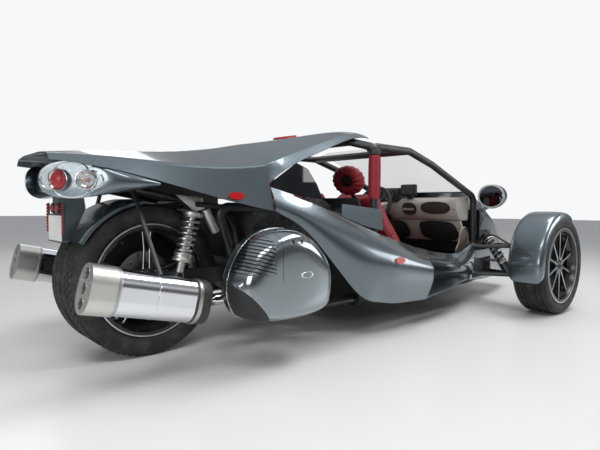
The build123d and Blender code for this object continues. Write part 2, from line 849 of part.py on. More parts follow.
# Seats: cushion and back in one soft body each, with the ring headrest above
seat_y = 216
seat_width = 366
seat_bottom = floor_z + tub_wall + seat_gap
seat_outline = (
    (1140, 800),
    (1232, 812),
    (1300, 640),
    (1440, 380),
    (1500, 300),
    (1880, 345),
    (1890, 260),
    (1540, seat_bottom),
    (1340, seat_bottom),
    (1200, 480),
)
for side in SIDES:
    with BuildPart() as seat:
        with BuildSketch(side_plane(side.sign * seat_y + seat_width / 2)) as outline:
            with BuildLine():
                FilletPolyline(*seat_outline, radius=[20, 20, 40, 40, 40, 16, 16, 20, 20, 40], close=True)
            make_face()
        extrude(outline.sketch, amount=seat_width)
        rest_plane = Plane(origin=place(1150, side.sign * seat_y, 866), x_dir=(0, 1, 0), z_dir=(1, 0, 0.3))
        with BuildSketch(rest_plane) as rest:
            Ellipse(112, 80)
        extrude(rest.sketch, amount=44, both=True)
    seat.part.label = f"seat_{side.name}"
    export_step(seat.part, f"parts/seat_{side.name}.step")

# Pads: soft sleeves round the hoop's legs
pad_low = 690
pad_high = 930
pad_size = 68
with BuildPart() as hoop_pads:
    for side in SIDES:
        with BuildSketch(Plane.XY.offset(pad_low)) as sleeve:
            with Locations((rear_axle_x + hoop_x, side.sign * hoop_half_width)):
                RectangleRounded(pad_size, pad_size, 20)
                Circle(tube_radius + seat_gap, mode=Mode.SUBTRACT)
        extrude(sleeve.sketch, amount=pad_high - pad_low)

hoop_pads.part.label = "hoop_pads"
export_step(hoop_pads.part, "parts/hoop_pads.step")

# Boards beside the seats, upright between the hoop and the belt
board_y = hoop_half_width + tube_radius + seat_gap
board_outline = ((826, 668), (1134, 640), (1150, 526), (1010, 552), (826, 608))
with BuildPart() as seat_boards:
    for side in SIDES:
        with BuildSketch(side_plane(side.sign * board_y)) as board:
            with BuildLine():
                FilletPolyline(*board_outline, radius=8, close=True)
            make_face()
        extrude(board.sketch, amount=-side.sign * 6)

seat_boards.part.label = "seat_boards"
export_step(seat_boards.part, "parts/seat_boards.step")

# Side cases: a domed outline, the body fixed inboard and the lid hinged along its lower edge
case_bottom = 196
case_points = (
    (205, case_bottom),
    (520, case_bottom),
    (567, 300),
    (560, 410),
    (430, 540),
    (320, 561),
    (190, 520),
    (95, 400),
    (78, 320),
)
case_bends = [60, 50, 60, 110, 60, 60, 110, 60, 60]


def case_shell(near_y, far_y, taper):
    """Add one hollow half of the right side case, open at its near face and tapered to its far one."""
    depth = far_y - near_y
    for wall, mode in ((0, Mode.ADD), (case_wall, Mode.SUBTRACT)):
        with BuildSketch(side_plane(-near_y)) as rim:
            with BuildLine():
                FilletPolyline(*case_points, radius=case_bends, close=True)
            make_face()
            if wall:
                offset(amount=-wall, mode=Mode.REPLACE)
        extrude(rim.sketch, amount=depth - wall, taper=taper, mode=mode)


for side in SIDES:
    with BuildPart() as case_body:
        case_shell(case_inner_y, case_split_y, 0)
        mirror(about=side_plane(-(case_inner_y + case_split_y) / 2), mode=Mode.REPLACE)
        if side.sign > 0:
            mirror(about=Plane.XZ, mode=Mode.REPLACE)
    case_body.part.label = f"case_body_{side.name}"
    export_step(case_body.part, f"parts/case_body_{side.name}.step")

    with BuildPart() as case_lid:
        case_shell(case_split_y + case_gap, case_outer_y, 10)
        if side.sign > 0:
            mirror(about=Plane.XZ, mode=Mode.REPLACE)
    case_lid.part.label = f"case_lid_{side.name}"
    export_step(case_lid.part, f"parts/case_lid_{side.name}.step")

# Swingarm: two arms, a cross tube and the axle that the rear wheel turns on
arm_y = 192
with BuildPart() as swingarm:
    for side in SIDES:
        y = side.sign
        with BuildSketch(side_plane(y * arm_y - 14)) as arm:
            with BuildLine():
                FilletPolyline(
                    (-46, rear_axle_z + 34),
                    (-46, rear_axle_z - 34),
                    (60, rear_axle_z - 38),
                    (pivot_x + 30, pivot_z - 34),
                    (pivot_x + 30, pivot_z + 34),
                    (120, rear_axle_z + 44),
                    radius=14,
                    close=True,
                )
            make_face()
        extrude(arm.sketch, amount=-28)
    pivot_half = rail_y - tube_radius - seat_gap
    add_rod(place(pivot_x, -pivot_half, pivot_z), place(pivot_x, pivot_half, pivot_z), 18)
    add_rod(place(0, -arm_y - 26, rear_axle_z), place(0, arm_y + 26, rear_axle_z), axle_radius)
    add_rod(
        place(shock_bottom[0], -arm_y, shock_bottom[2]),
        place(shock_bottom[0], -arm_y - 40, shock_bottom[2]),
        shock_pin_radius,
    )

swingarm.part.label = "swingarm"
export_step(swingarm.part, "parts/swingarm.step")

# Rear damper with its coil spring, leaning back from the frame to the swingarm
with BuildPart() as rear_shock:
    way = (Vector(*shock_top) - Vector(*shock_bottom)).normalized()
    low = Vector(*shock_bottom)
    top = Vector(*shock_top)
    shock_eye = 19
    for spot in (low, top):
        with BuildSketch(side_plane(spot.Y + 11)) as eye:
            with Locations((spot.X, spot.Z)):
                Circle(shock_eye)
                Circle(shock_pin_radius + bearing_clearance, mode=Mode.SUBTRACT)
        extrude(eye.sketch, amount=22)
    body_start = low + way * (shock_eye - 3)
    body_end = top - way * (shock_eye - 3)
    add_rod(place(*body_start), place(*body_end), 12)
    add_rod(place(*(low + way * 60)), place(*(low + way * 180)), 26)
    for share in range(5):
        coil = low + way * (95 + share * 34)
        add_rod(place(*coil), place(*(coil + way * 14)), 36)

rear_shock.part.label = "rear_shock"
export_step(rear_shock.part, "parts/rear_shock.step")

# Engine: crankcase and gearbox, the leaning cylinder block, its head and the covers
crankcase_half = 150
cover_y = 232
with BuildPart() as engine:
    with BuildSketch(side_plane(-crankcase_half)) as crankcase:
        with BuildLine():
            FilletPolyline(
                (430, 262), (540, 195), (860, 195), (900, 260), (900, 420), (790, 470), (560, 440), (430, 370),
                radius=20,
                close=True,
            )
        make_face()
    extrude(crankcase.sketch, amount=-2 * crankcase_half)
    with BuildSketch(side_plane(-270)) as block:
        with BuildLine():
            FilletPolyline(
                (600, 420), (860, 420), (960, 560), (960, 660), (880, 700), (740, 640),
                radius=16,
                close=True,
            )
        make_face()
    extrude(block.sketch, amount=-540)
    for side in SIDES:
        add_rod(place(720, side.sign * (crankcase_half - 10), 320), place(720, side.sign * cover_y, 320), 105)
    add_rod(place(500, -crankcase_half + 10, 310), place(500, -196, 310), 62)
    sprocket_root = place(front_sprocket_x, crankcase_half - 10, front_sprocket_z)
    sprocket_face = place(front_sprocket_x, chain_y + chain_width, front_sprocket_z)
    add_rod(sprocket_root, sprocket_face, front_sprocket_radius - chain_height)

engine.part.label = "engine"
export_step(engine.part, "parts/engine.step")

# Silencers: oval bodies with a satin end cap, three outlets, and the pipe that feeds them
pipe_end_x = 700
outlet_radius = 20
outlet_pitch = 50
silencers = {}
silencer_way = Vector(cos(radians(silencer_slope)), 0, -sin(radians(silencer_slope)))
for side in SIDES:
    y = side.sign
    tail_face = Plane(
        origin=place(silencer_tail_x, y * silencer_y, silencer_tail_z),
        x_dir=(0, 1, 0),
        z_dir=silencer_way,
    )
    with BuildPart() as silencer_cap:
        with BuildSketch(tail_face) as cap_outline:
            RectangleRounded(silencer_width, silencer_height, silencer_width / 2 - 1)
        extrude(cap_outline.sketch, amount=cap_length)
        with BuildSketch(tail_face) as outlets:
            for step in (-1, 0, 1):
                with Locations((0, step * outlet_pitch)):
                    Circle(outlet_radius)
        extrude(outlets.sketch, amount=cap_length - 12, mode=Mode.SUBTRACT)
    silencer_cap.part.label = f"silencer_cap_{side.name}"
    export_step(silencer_cap.part, f"parts/silencer_cap_{side.name}.step")

    with BuildPart() as silencer:
        with BuildSketch(tail_face.offset(cap_length)) as shell_outline:
            RectangleRounded(silencer_width - 6, silencer_height - 6, silencer_width / 2 - 4)
        extrude(shell_outline.sketch, amount=silencer_length - cap_length)
        end = Vector(silencer_tail_x, y * silencer_y, silencer_tail_z) + silencer_way * (silencer_length - 10)
        add_tube(
            [
                place(*end),
                place(end.X + 24, y * (silencer_y - 22), end.Z - 6),
                place(end.X + 140, y * 330, end.Z - 34),
                place(pipe_end_x, y * 330, 262),
                place(pipe_end_x, y * (cover_y + seat_gap), 262),
            ],
            26,
            30,
        )
    silencers[side.name] = silencer.part
    silencer.part.label = f"silencer_{side.name}"
    export_step(silencer.part, f"parts/silencer_{side.name}.step")

# Tail lamps: a pod across the tail, its pointed fins, the lamps in it and one clear lens
lamp_z = 755
pod_back = -392
pod_front = -250
pod_low = lamp_z - 48
with BuildPart() as tail_lamp_pod:
    with BuildSketch(station(pod_front)) as pod_front_section:
        with Locations((0, lamp_z - 6)):
            RectangleRounded(560, 84, 36)
    with BuildSketch(station(pod_back)) as pod_back_section:
        with Locations((0, lamp_z)):
            RectangleRounded(470, 96, 40)
    loft(sections=[pod_front_section.sketch, pod_back_section.sketch])
    for side in SIDES:
        with BuildSketch(station(pod_front)) as fin_root:
            with Locations((side.sign * 240, lamp_z - 6)):
                RectangleRounded(80, 84, 30)
        with BuildSketch(station(-50)) as fin_tip:
            with Locations((side.sign * 322, 738)):
                RectangleRounded(14, 14, 5)
        loft(sections=[fin_root.sketch, fin_tip.sketch])
    with BuildSketch(station(pod_back)) as lamp_recess:
        with Locations((0, lamp_z)):
            RectangleRounded(450, 80, 34)
    extrude(lamp_recess.sketch, amount=40, mode=Mode.SUBTRACT)

tail_lamp_pod.part.label = "tail_lamp_pod"
export_step(tail_lamp_pod.part, "parts/tail_lamp_pod.step")

with BuildPart() as tail_lamps:
    for lamp_y, lamp_radius in ((-180, 30), (-100, 36), (100, 36), (180, 30)):
        add_rod(place(pod_back + 39.7, lamp_y, lamp_z), place(pod_back + 6, lamp_y, lamp_z), lamp_radius)

tail_lamps.part.label = "tail_lamps"
export_step(tail_lamps.part, "parts/tail_lamps.step")

with BuildPart() as tail_lens:
    with BuildSketch(station(pod_back - seat_gap)) as lens_outline:
        with Locations((0, lamp_z)):
            RectangleRounded(470, 96, 40)
    extrude(lens_outline.sketch, amount=-6)

tail_lens.part.label = "tail_lens"
export_step(tail_lens.part, "parts/tail_lens.step")

# Rear fender behind the tyre, with the plate's pylon and the blank plate
hugger_radius = rear_tyre_radius + 22
hugger_half = 158
pylon_top = pod_low - seat_gap
with BuildPart() as rear_fender:
    run = [(hugger_half, hugger_radius - 20), (hugger_half, hugger_radius)]
    run = run + [(-y, radius) for y, radius in reversed(run)]
    profile = skin_section(wheel_plane(0, 0, rear_axle_z), run, [14, 14], skin)
    revolve(
        profile.rotate(wheel_axis(0, 0, rear_axle_z), -8),
        axis=wheel_axis(0, 0, rear_axle_z),
        revolution_arc=-52,
    )
    with BuildSketch(side_plane(-40)) as pylon:
        with BuildLine():
            pylon_outline = ((-345, 500), (-300, 500), (-240, 640), (-250, pylon_top), (-345, pylon_top))
            FilletPolyline(*pylon_outline, radius=8, close=True)
        make_face()
    extrude(pylon.sketch, amount=-80)

rear_fender.part.label = "rear_fender"
export_step(rear_fender.part, "parts/rear_fender.step")

with BuildPart() as number_plate:
    with BuildSketch(station(-345 - seat_gap)) as plate:
        with Locations((0, 560)):
            RectangleRounded(178, 102, 8)
    extrude(plate.sketch, amount=-3)

number_plate.part.label = "number_plate"
export_step(number_plate.part, "parts/number_plate.step")

# Subframe behind the rails: it carries the tail, its lamps, the fender and the silencers
subframe_y = 176
subframe_radius = 12
with BuildPart() as rear_subframe:
    for side in SIDES:
        y = side.sign
        start = place(top_cross_x - cross_radius - 2.6, y * subframe_y, 646)
        add_rod(start, place(pod_front + 2.6, y * subframe_y, lamp_z - 6), subframe_radius)
        for post_x, post_z in ((-130, 724), (120, 682)):
            add_post(rear_body.part, place(post_x, y * subframe_y, post_z), (0, 0, 1), 8)
        add_rod(place(-100, y * subframe_y, 722), place(-100, y * (silencer_y - 20), 345), 9)
    add_rod(place(180, -subframe_y, 673), place(180, subframe_y, 673), subframe_radius)
    for side in SIDES:
        add(silencers[side.name], mode=Mode.SUBTRACT)

rear_subframe.part.label = "rear_subframe"
export_step(rear_subframe.part, "parts/rear_subframe.step")

# Mirrors on the cowl's shoulders
for side in SIDES:
    y = side.sign
    with BuildPart() as mirror_unit:
        with BuildSketch(Plane(origin=place(2262, y * 520, 738), x_dir=(0, 1, 0), z_dir=(1, 0, 0))) as face:
            Ellipse(92, 66)
        with BuildSketch(Plane(origin=place(2340, y * 516, 740), x_dir=(0, 1, 0), z_dir=(1, 0, 0))) as middle:
            Ellipse(84, 60)
        with BuildSketch(Plane(origin=place(2440, y * 506, 746), x_dir=(0, 1, 0), z_dir=(1, 0, 0))) as nose:
            Ellipse(26, 18)
        loft(sections=[face.sketch, middle.sketch, nose.sketch])
        add_rod(place(2340, y * 500, 720), place(2360, y * 390, 630), 13)
        add(cowl_form.part, mode=Mode.SUBTRACT)
    mirror_unit.part.label = f"mirror_{side.name}"
    export_step(mirror_unit.part, f"parts/mirror_{side.name}.step")

# Headlamps, round, low on the cowl's front corners
with BuildPart() as headlamps:
    for side in SIDES:
        for lamp in headlamp_places:
            add_rod(
                place(lamp.x, side.sign * lamp.y, lamp.z),
                place(lamp.x + headlamp_length, side.sign * lamp.y, lamp.z),
                headlamp_radius,
            )

headlamps.part.label = "headlamps"
export_step(headlamps.part, "parts/headlamps.step")

# Lamp on the roof, on its slope
lamp_slope = 10.5
with BuildPart() as roof_lamp:
    roof_plane = Plane(
        origin=place(862, 0, 1035.2),
        x_dir=(cos(radians(lamp_slope)), 0, sin(radians(lamp_slope))),
        z_dir=(-sin(radians(lamp_slope)), 0, cos(radians(lamp_slope))),
    )
    with BuildSketch(roof_plane) as lamp_base:
        Ellipse(78, 52)
    extrude(lamp_base.sketch, amount=11, taper=20)

roof_lamp.part.label = "roof_lamp"
export_step(roof_lamp.part, "parts/roof_lamp.step")

# Red oval markers on the flanks
mark_gap = 0.7
with BuildPart() as side_markers:
    for side in SIDES:
        y = side.sign
        for host, mark_x, mark_z in ((rear_body.part, 263, 700), (flank_panels[side.name], 1090, 388)):
            spots = []
            for step_x, step_z in ((-30, -13), (30, -13), (0, 13)):
                start = Vector(*place(mark_x + step_x, y * belly_half_width * 1.2, mark_z + step_z))
                spots.append(start - Vector(0, y, 0) * reach(host, start, (0, -y, 0))[0])
            normal = (spots[1] - spots[0]).cross(spots[2] - spots[0]).normalized()
            if normal.Y * y < 0:
                normal = normal * -1
            middle = (spots[0] + spots[1] + spots[2]) / 3 + normal * mark_gap
            with BuildSketch(Plane(origin=middle, x_dir=spots[1] - spots[0], z_dir=normal)) as mark:
                Ellipse(36, 17)
            extrude(mark.sketch, amount=6)

side_markers.part.label = "side_markers"
export_step(side_markers.part, "parts/side_markers.step")

# Radiators in the side scoops
core_inner_y = cockpit_half_width + seat_gap
core_outer_y = 572
with BuildPart() as radiators:
    for side in SIDES:
        with BuildSketch(station(1150)) as core:
            with Locations((side.sign * (core_inner_y + core_outer_y) / 2, 296)):
                Rectangle(core_outer_y - core_inner_y, 160)
        extrude(core.sketch, amount=30)

radiators.part.label = "radiators"
export_step(radiators.part, "parts/radiators.step")

# Chain round the two sprockets
with BuildPart() as drive_chain:
    for inset, mode in ((0, Mode.ADD), (chain_height - seat_gap, Mode.SUBTRACT)):
        with BuildSketch(side_plane(chain_y)) as loop:
            with Locations((0, rear_axle_z)):
                Circle(rear_sprocket_radius - inset)
            with Locations((front_sprocket_x, front_sprocket_z)):
                Circle(front_sprocket_radius - inset)
            make_hull()
        extrude(loop.sketch, amount=-chain_width, mode=mode)

drive_chain.part.label = "drive_chain"
export_step(drive_chain.part, "parts/drive_chain.step")
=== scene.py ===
# %% [markdown]
# # A three wheeled car, dressed
#
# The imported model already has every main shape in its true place. This lesson gives each shape its finish and adds the
# small forms that make a vehicle look real: tread, stitching, springs, lamps, bezels, bolts and hoses. Everything is in
# metres, with +X forward, +Y to the left and the ground at zero.

from math import atan2, cos, pi, radians, sin

import bpy
from mathutils import Matrix, Vector


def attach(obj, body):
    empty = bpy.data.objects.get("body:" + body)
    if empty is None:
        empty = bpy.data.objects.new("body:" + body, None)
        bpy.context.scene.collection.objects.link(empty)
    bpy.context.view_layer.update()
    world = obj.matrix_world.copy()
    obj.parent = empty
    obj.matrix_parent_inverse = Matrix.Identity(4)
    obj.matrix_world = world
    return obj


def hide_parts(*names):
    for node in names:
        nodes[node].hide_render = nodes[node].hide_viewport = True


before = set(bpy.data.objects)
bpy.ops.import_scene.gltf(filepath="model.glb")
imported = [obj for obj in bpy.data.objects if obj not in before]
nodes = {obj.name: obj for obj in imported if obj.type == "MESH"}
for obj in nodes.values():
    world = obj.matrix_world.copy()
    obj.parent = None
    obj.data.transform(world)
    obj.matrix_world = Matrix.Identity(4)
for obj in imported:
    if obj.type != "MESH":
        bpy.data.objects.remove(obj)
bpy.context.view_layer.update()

# %% [markdown]
# ## Where things are
#
# The vehicle is measured from its rear axle, which lies behind the middle of its length. One helper turns such a
# measurement in millimetres into a point of the frame, so that the numbers below read as on a drawing.

# %% Places in millimetres from the rear axle
REAR_AXLE = -1322.5
WHEELBASE = 2286
FRONT_Y, FRONT_Z, REAR_Z = 888, 300, 331
SEAT_Y, MIRROR_Y = 216, 516
SIDES = (("right", -1), ("left", 1))


def at(x, y, z):
    """A point of the frame from millimetres forward of the rear axle."""
    return Vector(((REAR_AXLE + x) / 1000, y / 1000, z / 1000))


# %% [markdown]
# ## The studio
#
# Polished paint and chrome only look right when they have something to mirror. A pale floor, a pale world and three
# large soft lamps give long clean highlights, and the floor keeps the shadow that ties the wheels to the ground. The
# camera stands low behind the right rear wheel with a wide lens, which is what makes the tail loom over the nose.

# %% Floor, world and lamps
def studio_node(tree, kind, **values):
    """Adds a node and sets its inputs by name."""
    node = tree.nodes.new(kind)
    for name, value in values.items():
        node.inputs[name.replace("_", " ")].default_value = value
    return node


bpy.ops.mesh.primitive_circle_add(vertices=96, radius=26, fill_type="NGON")
floor = bpy.context.object
floor.name = "studio_floor"
floor_paint = bpy.data.materials.new("pale_floor")
floor_paint.use_nodes = True
floor_shader = floor_paint.node_tree.nodes["Principled BSDF"]
floor_shader.inputs["Base Color"].default_value = (0.80, 0.80, 0.79, 1)
floor_shader.inputs["Roughness"].default_value = 0.28
floor.data.materials.append(floor_paint)

world = bpy.data.worlds.new("pale_room")
bpy.context.scene.world = world
world.use_nodes = True
room = world.node_tree
room.nodes.clear()
seen = studio_node(room, "ShaderNodeBackground", Color=(0.93, 0.94, 0.95, 1), Strength=1.0)
felt = studio_node(room, "ShaderNodeBackground", Color=(0.86, 0.90, 0.95, 1), Strength=0.75)
way = room.nodes.new("ShaderNodeTexCoord")
split = room.nodes.new("ShaderNodeSeparateXYZ")
height = room.nodes.new("ShaderNodeMapRange")
height.inputs["From Min"].default_value = -1.0
bands = room.nodes.new("ShaderNodeValToRGB")
bands.color_ramp.elements[0].position, bands.color_ramp.elements[0].color = 0.40, (0.85, 0.85, 0.84, 1)
bands.color_ramp.elements[1].position, bands.color_ramp.elements[1].color = 0.95, (0.9, 0.94, 1.0, 1)
for spot, grey in ((0.48, 0.12), (0.56, 0.06), (0.63, 0.28), (0.70, 0.75), (0.78, 0.30)):
    bands.color_ramp.elements.new(spot).color = (grey, grey * 1.03, grey * 1.06, 1)
room.links.new(way.outputs["Generated"], split.inputs[0])
room.links.new(split.outputs["Z"], height.inputs["Value"])
room.links.new(height.outputs[0], bands.inputs["Fac"])
room.links.new(bands.outputs[0], felt.inputs["Color"])
rays = room.nodes.new("ShaderNodeLightPath")
glossy = room.nodes.new("ShaderNodeMath")
glossy.operation = "MAXIMUM"
both = room.nodes.new("ShaderNodeMath")
both.operation = "MAXIMUM"
choose = room.nodes.new("ShaderNodeMixShader")
out = room.nodes.new("ShaderNodeOutputWorld")
soft_gloss = room.nodes.new("ShaderNodeMath")
soft_gloss.operation = "MULTIPLY"
soft_gloss.inputs[1].default_value = 0.06
room.links.new(rays.outputs["Is Glossy Ray"], soft_gloss.inputs[0])
room.links.new(rays.outputs["Is Camera Ray"], glossy.inputs[0])
room.links.new(soft_gloss.outputs[0], glossy.inputs[1])
room.links.new(glossy.outputs[0], both.inputs[0])
room.links.new(rays.outputs["Is Transmission Ray"], both.inputs[1])
room.links.new(both.outputs[0], choose.inputs["Fac"])
room.links.new(felt.outputs[0], choose.inputs[1])
room.links.new(seen.outputs[0], choose.inputs[2])
room.links.new(choose.outputs[0], out.inputs["Surface"])

LAMPS = (
    ("ceiling_front", (1.6, -1.4, 4.2), (0.2, 0.0, 0.2), 3.4, 1.2, 105),
    ("ceiling_back", (-2.6, -2.2, 4.0), (-0.9, -0.2, 0.4), 3.0, 1.0, 60),
    ("far_side", (-0.5, 4.6, 3.4), (0.0, 0.0, 0.5), 4.5, 1.6, 40),
    ("low_front", (3.8, -3.6, 1.7), (1.0, -0.4, 0.4), 2.4, 1.4, 50),
    ("low_back", (-4.6, -1.6, 1.3), (-1.4, -0.1, 0.4), 1.6, 1.0, 36),
)
for name, spot, aim, width, depth, power in LAMPS:
    bpy.ops.object.light_add(type="AREA", location=spot)
    lamp = bpy.context.object
    lamp.name = name
    lamp.data.shape = "RECTANGLE"
    lamp.data.size, lamp.data.size_y = width, depth
    lamp.data.energy = power
    lamp.rotation_euler = (Vector(aim) - Vector(spot)).to_track_quat("-Z", "Y").to_euler()

# %% The camera
YAW, PITCH, ROLL = 0.8408, -0.0410, 0.00782
ahead = Vector((cos(PITCH) * cos(YAW), cos(PITCH) * sin(YAW), sin(PITCH)))
across = ahead.cross(Vector((0, 0, 1))).normalized()
above = across.cross(ahead)
right = across * cos(ROLL) + above * sin(ROLL)
top = above * cos(ROLL) - across * sin(ROLL)
bpy.ops.object.camera_add(location=(-2.2411, -2.1216, 0.6601))
camera = bpy.context.object
camera.rotation_euler = Matrix((right, top, -ahead)).transposed().to_euler()
camera.data.sensor_width = 36
camera.data.lens = 36 * 486.4 / 600
bpy.context.scene.camera = camera
bpy.context.scene.view_settings.view_transform = "Standard"
print("lens", round(camera.data.lens, 2), "mm")

# %% [markdown]
# ## Shader maths in plain Python
#
# A node tree is easier to read as an expression. The small class below wraps one output socket, so that adding,
# multiplying or comparing two of them adds the matching Math node. A second class makes a material and any other node.

# %% Sockets as numbers
class Wave:
    """One socket that can be used in expressions."""

    def __init__(self, finish, socket):
        self.finish = finish
        self.socket = socket

    def maths(self, operation, *others):
        values = {index + 1: other for index, other in enumerate(others)}
        values[0] = self
        return self.finish.node("ShaderNodeMath", {"operation": operation}, values)

    def __add__(self, other):
        return self.maths("ADD", other)

    def __mul__(self, other):
        return self.maths("MULTIPLY", other)

    def __sub__(self, other):
        return self.maths("SUBTRACT", other)

    def __rsub__(self, other):
        return (self * -1) + other

    def above(self, other):
        return self.maths("GREATER_THAN", other)

    def below(self, other):
        return self.maths("LESS_THAN", other)

    def power(self, other):
        return self.maths("POWER", other)

    def size(self):
        return self.maths("ABSOLUTE")

    def sine(self):
        return self.maths("SINE")

    def between(self, low, high):
        """A smooth step from 0 at low to 1 at high."""
        settings = {"interpolation_type": "SMOOTHSTEP"}
        values = {"Value": self, "From Min": low, "From Max": high}
        return self.finish.node("ShaderNodeMapRange", settings, values)

    __radd__ = __add__
    __rmul__ = __mul__


class Finish:
    """One material and the calls that add nodes to it."""

    def __init__(self, name, **shader):
        self.material = bpy.data.materials.new(name)
        self.material.use_nodes = True
        self.tree = self.material.node_tree
        self.shader = self.tree.nodes["Principled BSDF"]
        for key, value in shader.items():
            self.set(key.replace("_", " "), value)

    def set(self, name, value):
        """Gives the shader's input a value or a link."""
        socket = self.shader.inputs[name]
        if isinstance(value, Wave):
            self.tree.links.new(value.socket, socket)
        elif socket.type == "RGBA":
            socket.default_value = (*value, 1)
        else:
            socket.default_value = value

    def node(self, kind, settings=None, values=None, output=0):
        node = self.tree.nodes.new(kind)
        for name, value in (settings or {}).items():
            if name == "stops":
                ramp = node.color_ramp.elements
                while len(ramp) < len(value):
                    ramp.new(0.5)
                for stop, (place, colour) in zip(ramp, value):
                    stop.position = place
                    stop.color = (*colour, 1)
            else:
                setattr(node, name, value)
        for name, value in (values or {}).items():
            socket = node.inputs[name]
            if isinstance(value, Wave):
                self.tree.links.new(value.socket, socket)
            else:
                socket.default_value = value
        return Wave(self, node.outputs[output])

    def place(self):
        return self.node("ShaderNodeTexCoord", output="Object")

    def axes(self):
        """The three object coordinates in metres."""
        parts = self.tree.nodes.new("ShaderNodeSeparateXYZ")
        self.tree.links.new(self.place().socket, parts.inputs[0])
        return [Wave(self, output) for output in parts.outputs]

    def noise(self, scale, detail=2.0, rough=0.5, vector=None):
        values = {"Vector": vector or self.place(), "Scale": scale, "Detail": detail, "Roughness": rough}
        return self.node("ShaderNodeTexNoise", None, values)

    def cells(self, scale, feature="F1", output="Distance"):
        values = {"Vector": self.place(), "Scale": scale}
        return self.node("ShaderNodeTexVoronoi", {"feature": feature}, values, output)

    def mix(self, share, first, second):
        """A colour that goes from the first to the second."""
        settings = {"data_type": "RGBA"}
        node = self.tree.nodes.new("ShaderNodeMix")
        node.data_type = settings["data_type"]
        for index, value in ((0, share), (6, first), (7, second)):
            if isinstance(value, Wave):
                self.tree.links.new(value.socket, node.inputs[index])
            elif index:
                node.inputs[index].default_value = (*value, 1)
            else:
                node.inputs[index].default_value = value
        return Wave(self, node.outputs[2])

    def bump(self, height, strength=0.3, distance=0.001):
        values = {"Height": height, "Strength": strength, "Distance": distance}
        self.set("Normal", self.node("ShaderNodeBump", None, values))


# %% [markdown]
# ## Paint
#
# The real paint is a slate grey metallic under clear coat. Metallic paint is fine aluminium flakes in a tinted layer:
# each flake mirrors a little, at its own tilt. A fine cell pattern varies the tint and the roughness flake by flake,
# a wide soft noise keeps large panels from looking like plastic, and the coat on top gives the sharp reflections.

# %% Slate metallic paint
def slate_paint(name, deep=(0.07, 0.093, 0.108), light=(0.19, 0.235, 0.26)):
    paint = Finish(name, Metallic=0.88, Coat_Weight=1.0, Coat_Roughness=0.035, Coat_IOR=1.5)
    flakes = paint.cells(2600, output="Color")
    drift = paint.noise(1.3, 1)
    tone = paint.node("ShaderNodeSeparateColor", None, {"Color": flakes})
    paint.set("Base Color", paint.mix(tone * 0.55 + drift * 0.45, deep, light))
    paint.set("Roughness", tone * 0.12 + 0.2)
    paint.bump(paint.noise(260, 1), 0.05, 0.0004)
    return paint.material


PAINT = slate_paint("slate_metallic")

# %% [markdown]
# ## Bare and coated metal
#
# Powder coat is a baked plastic skin with a faint orange peel. Machined steel keeps the tool's fine scratches, so its
# roughness is stretched along one direction. Castings are grainy, with darker hollows where dirt stays. Chrome is
# almost a mirror: only a faint haze of wiping marks makes it believable.

# %% Metals
def powder_coat(name, colour, rough=0.38):
    coat = Finish(name, Metallic=0.0, Coat_Weight=0.25, Coat_Roughness=0.2)
    grain = coat.noise(420, 2)
    wear = coat.noise(9, 4)
    coat.set("Base Color", coat.mix(wear.between(0.45, 0.8), colour, [c * 1.7 + 0.01 for c in colour]))
    coat.set("Roughness", grain * 0.12 + rough)
    coat.bump(grain, 0.25, 0.0004)
    return coat.material


def machined(name, colour, rough=0.24, metallic=1.0):
    metal = Finish(name, Metallic=metallic)
    stretched = metal.node("ShaderNodeMapping", None, {"Vector": metal.place(), "Scale": (40, 900, 900)})
    lines = metal.noise(1.0, 3, 0.6, stretched)
    smudge = metal.noise(14, 3)
    metal.set("Base Color", metal.mix(smudge, [c * 0.86 for c in colour], colour))
    metal.set("Roughness", lines * 0.14 + smudge * 0.08 + rough)
    metal.bump(lines, 0.08, 0.0003)
    return metal.material


def casting(name, colour, rough=0.48):
    cast = Finish(name, Metallic=0.85)
    grit = cast.noise(900, 3)
    grime = cast.noise(22, 5, 0.6)
    cast.set("Base Color", cast.mix(grime.between(0.35, 0.7), [c * 0.5 for c in colour], colour))
    cast.set("Roughness", grit * 0.2 + rough)
    cast.bump(grit, 0.45, 0.0005)
    return cast.material


def mirror_metal(name, colour, rough=0.045):
    metal = Finish(name, Metallic=1.0)
    haze = metal.noise(18, 4, 0.6)
    metal.set("Base Color", metal.mix(haze, colour, [c * 0.93 for c in colour]))
    metal.set("Roughness", haze.between(0.35, 0.8) * 0.07 + rough)
    return metal.material


BLACK_TUBE = powder_coat("black_powder_coat", (0.012, 0.012, 0.013))
STEEL = machined("machined_steel", (0.52, 0.52, 0.53))
SATIN = machined("satin_aluminium", (0.72, 0.71, 0.67), 0.3)
ENGINE = casting("dark_casting", (0.16, 0.16, 0.17))
BARE_CASTING = casting("bare_casting", (0.46, 0.46, 0.46), 0.42)
CHROME = mirror_metal("polished_chrome", (0.84, 0.85, 0.87))
RIM_BLACK = powder_coat("gloss_black_rim", (0.010, 0.010, 0.012), 0.2)

# %% [markdown]
# ## Rubber, plastic, leather and glass
#
# Tyre rubber is not black but a warm dark grey with a dusty bloom. Moulded plastic has a fine leather-like grain that
# breaks up its shine. The seats are red leather: small cells for the grain, and a slow change of tone where people sit.

# %% Rubber and plastic
def tyre_rubber(name):
    rubber = Finish(name, Specular_IOR_Level=0.35)
    dust = rubber.noise(16, 5, 0.62)
    fine = rubber.noise(700, 2)
    rubber.set("Base Color", rubber.mix(dust.between(0.4, 0.75), (0.022, 0.021, 0.021), (0.060, 0.056, 0.052)))
    rubber.set("Roughness", fine * 0.16 + 0.58)
    rubber.bump(fine, 0.3, 0.0004)
    return rubber.material


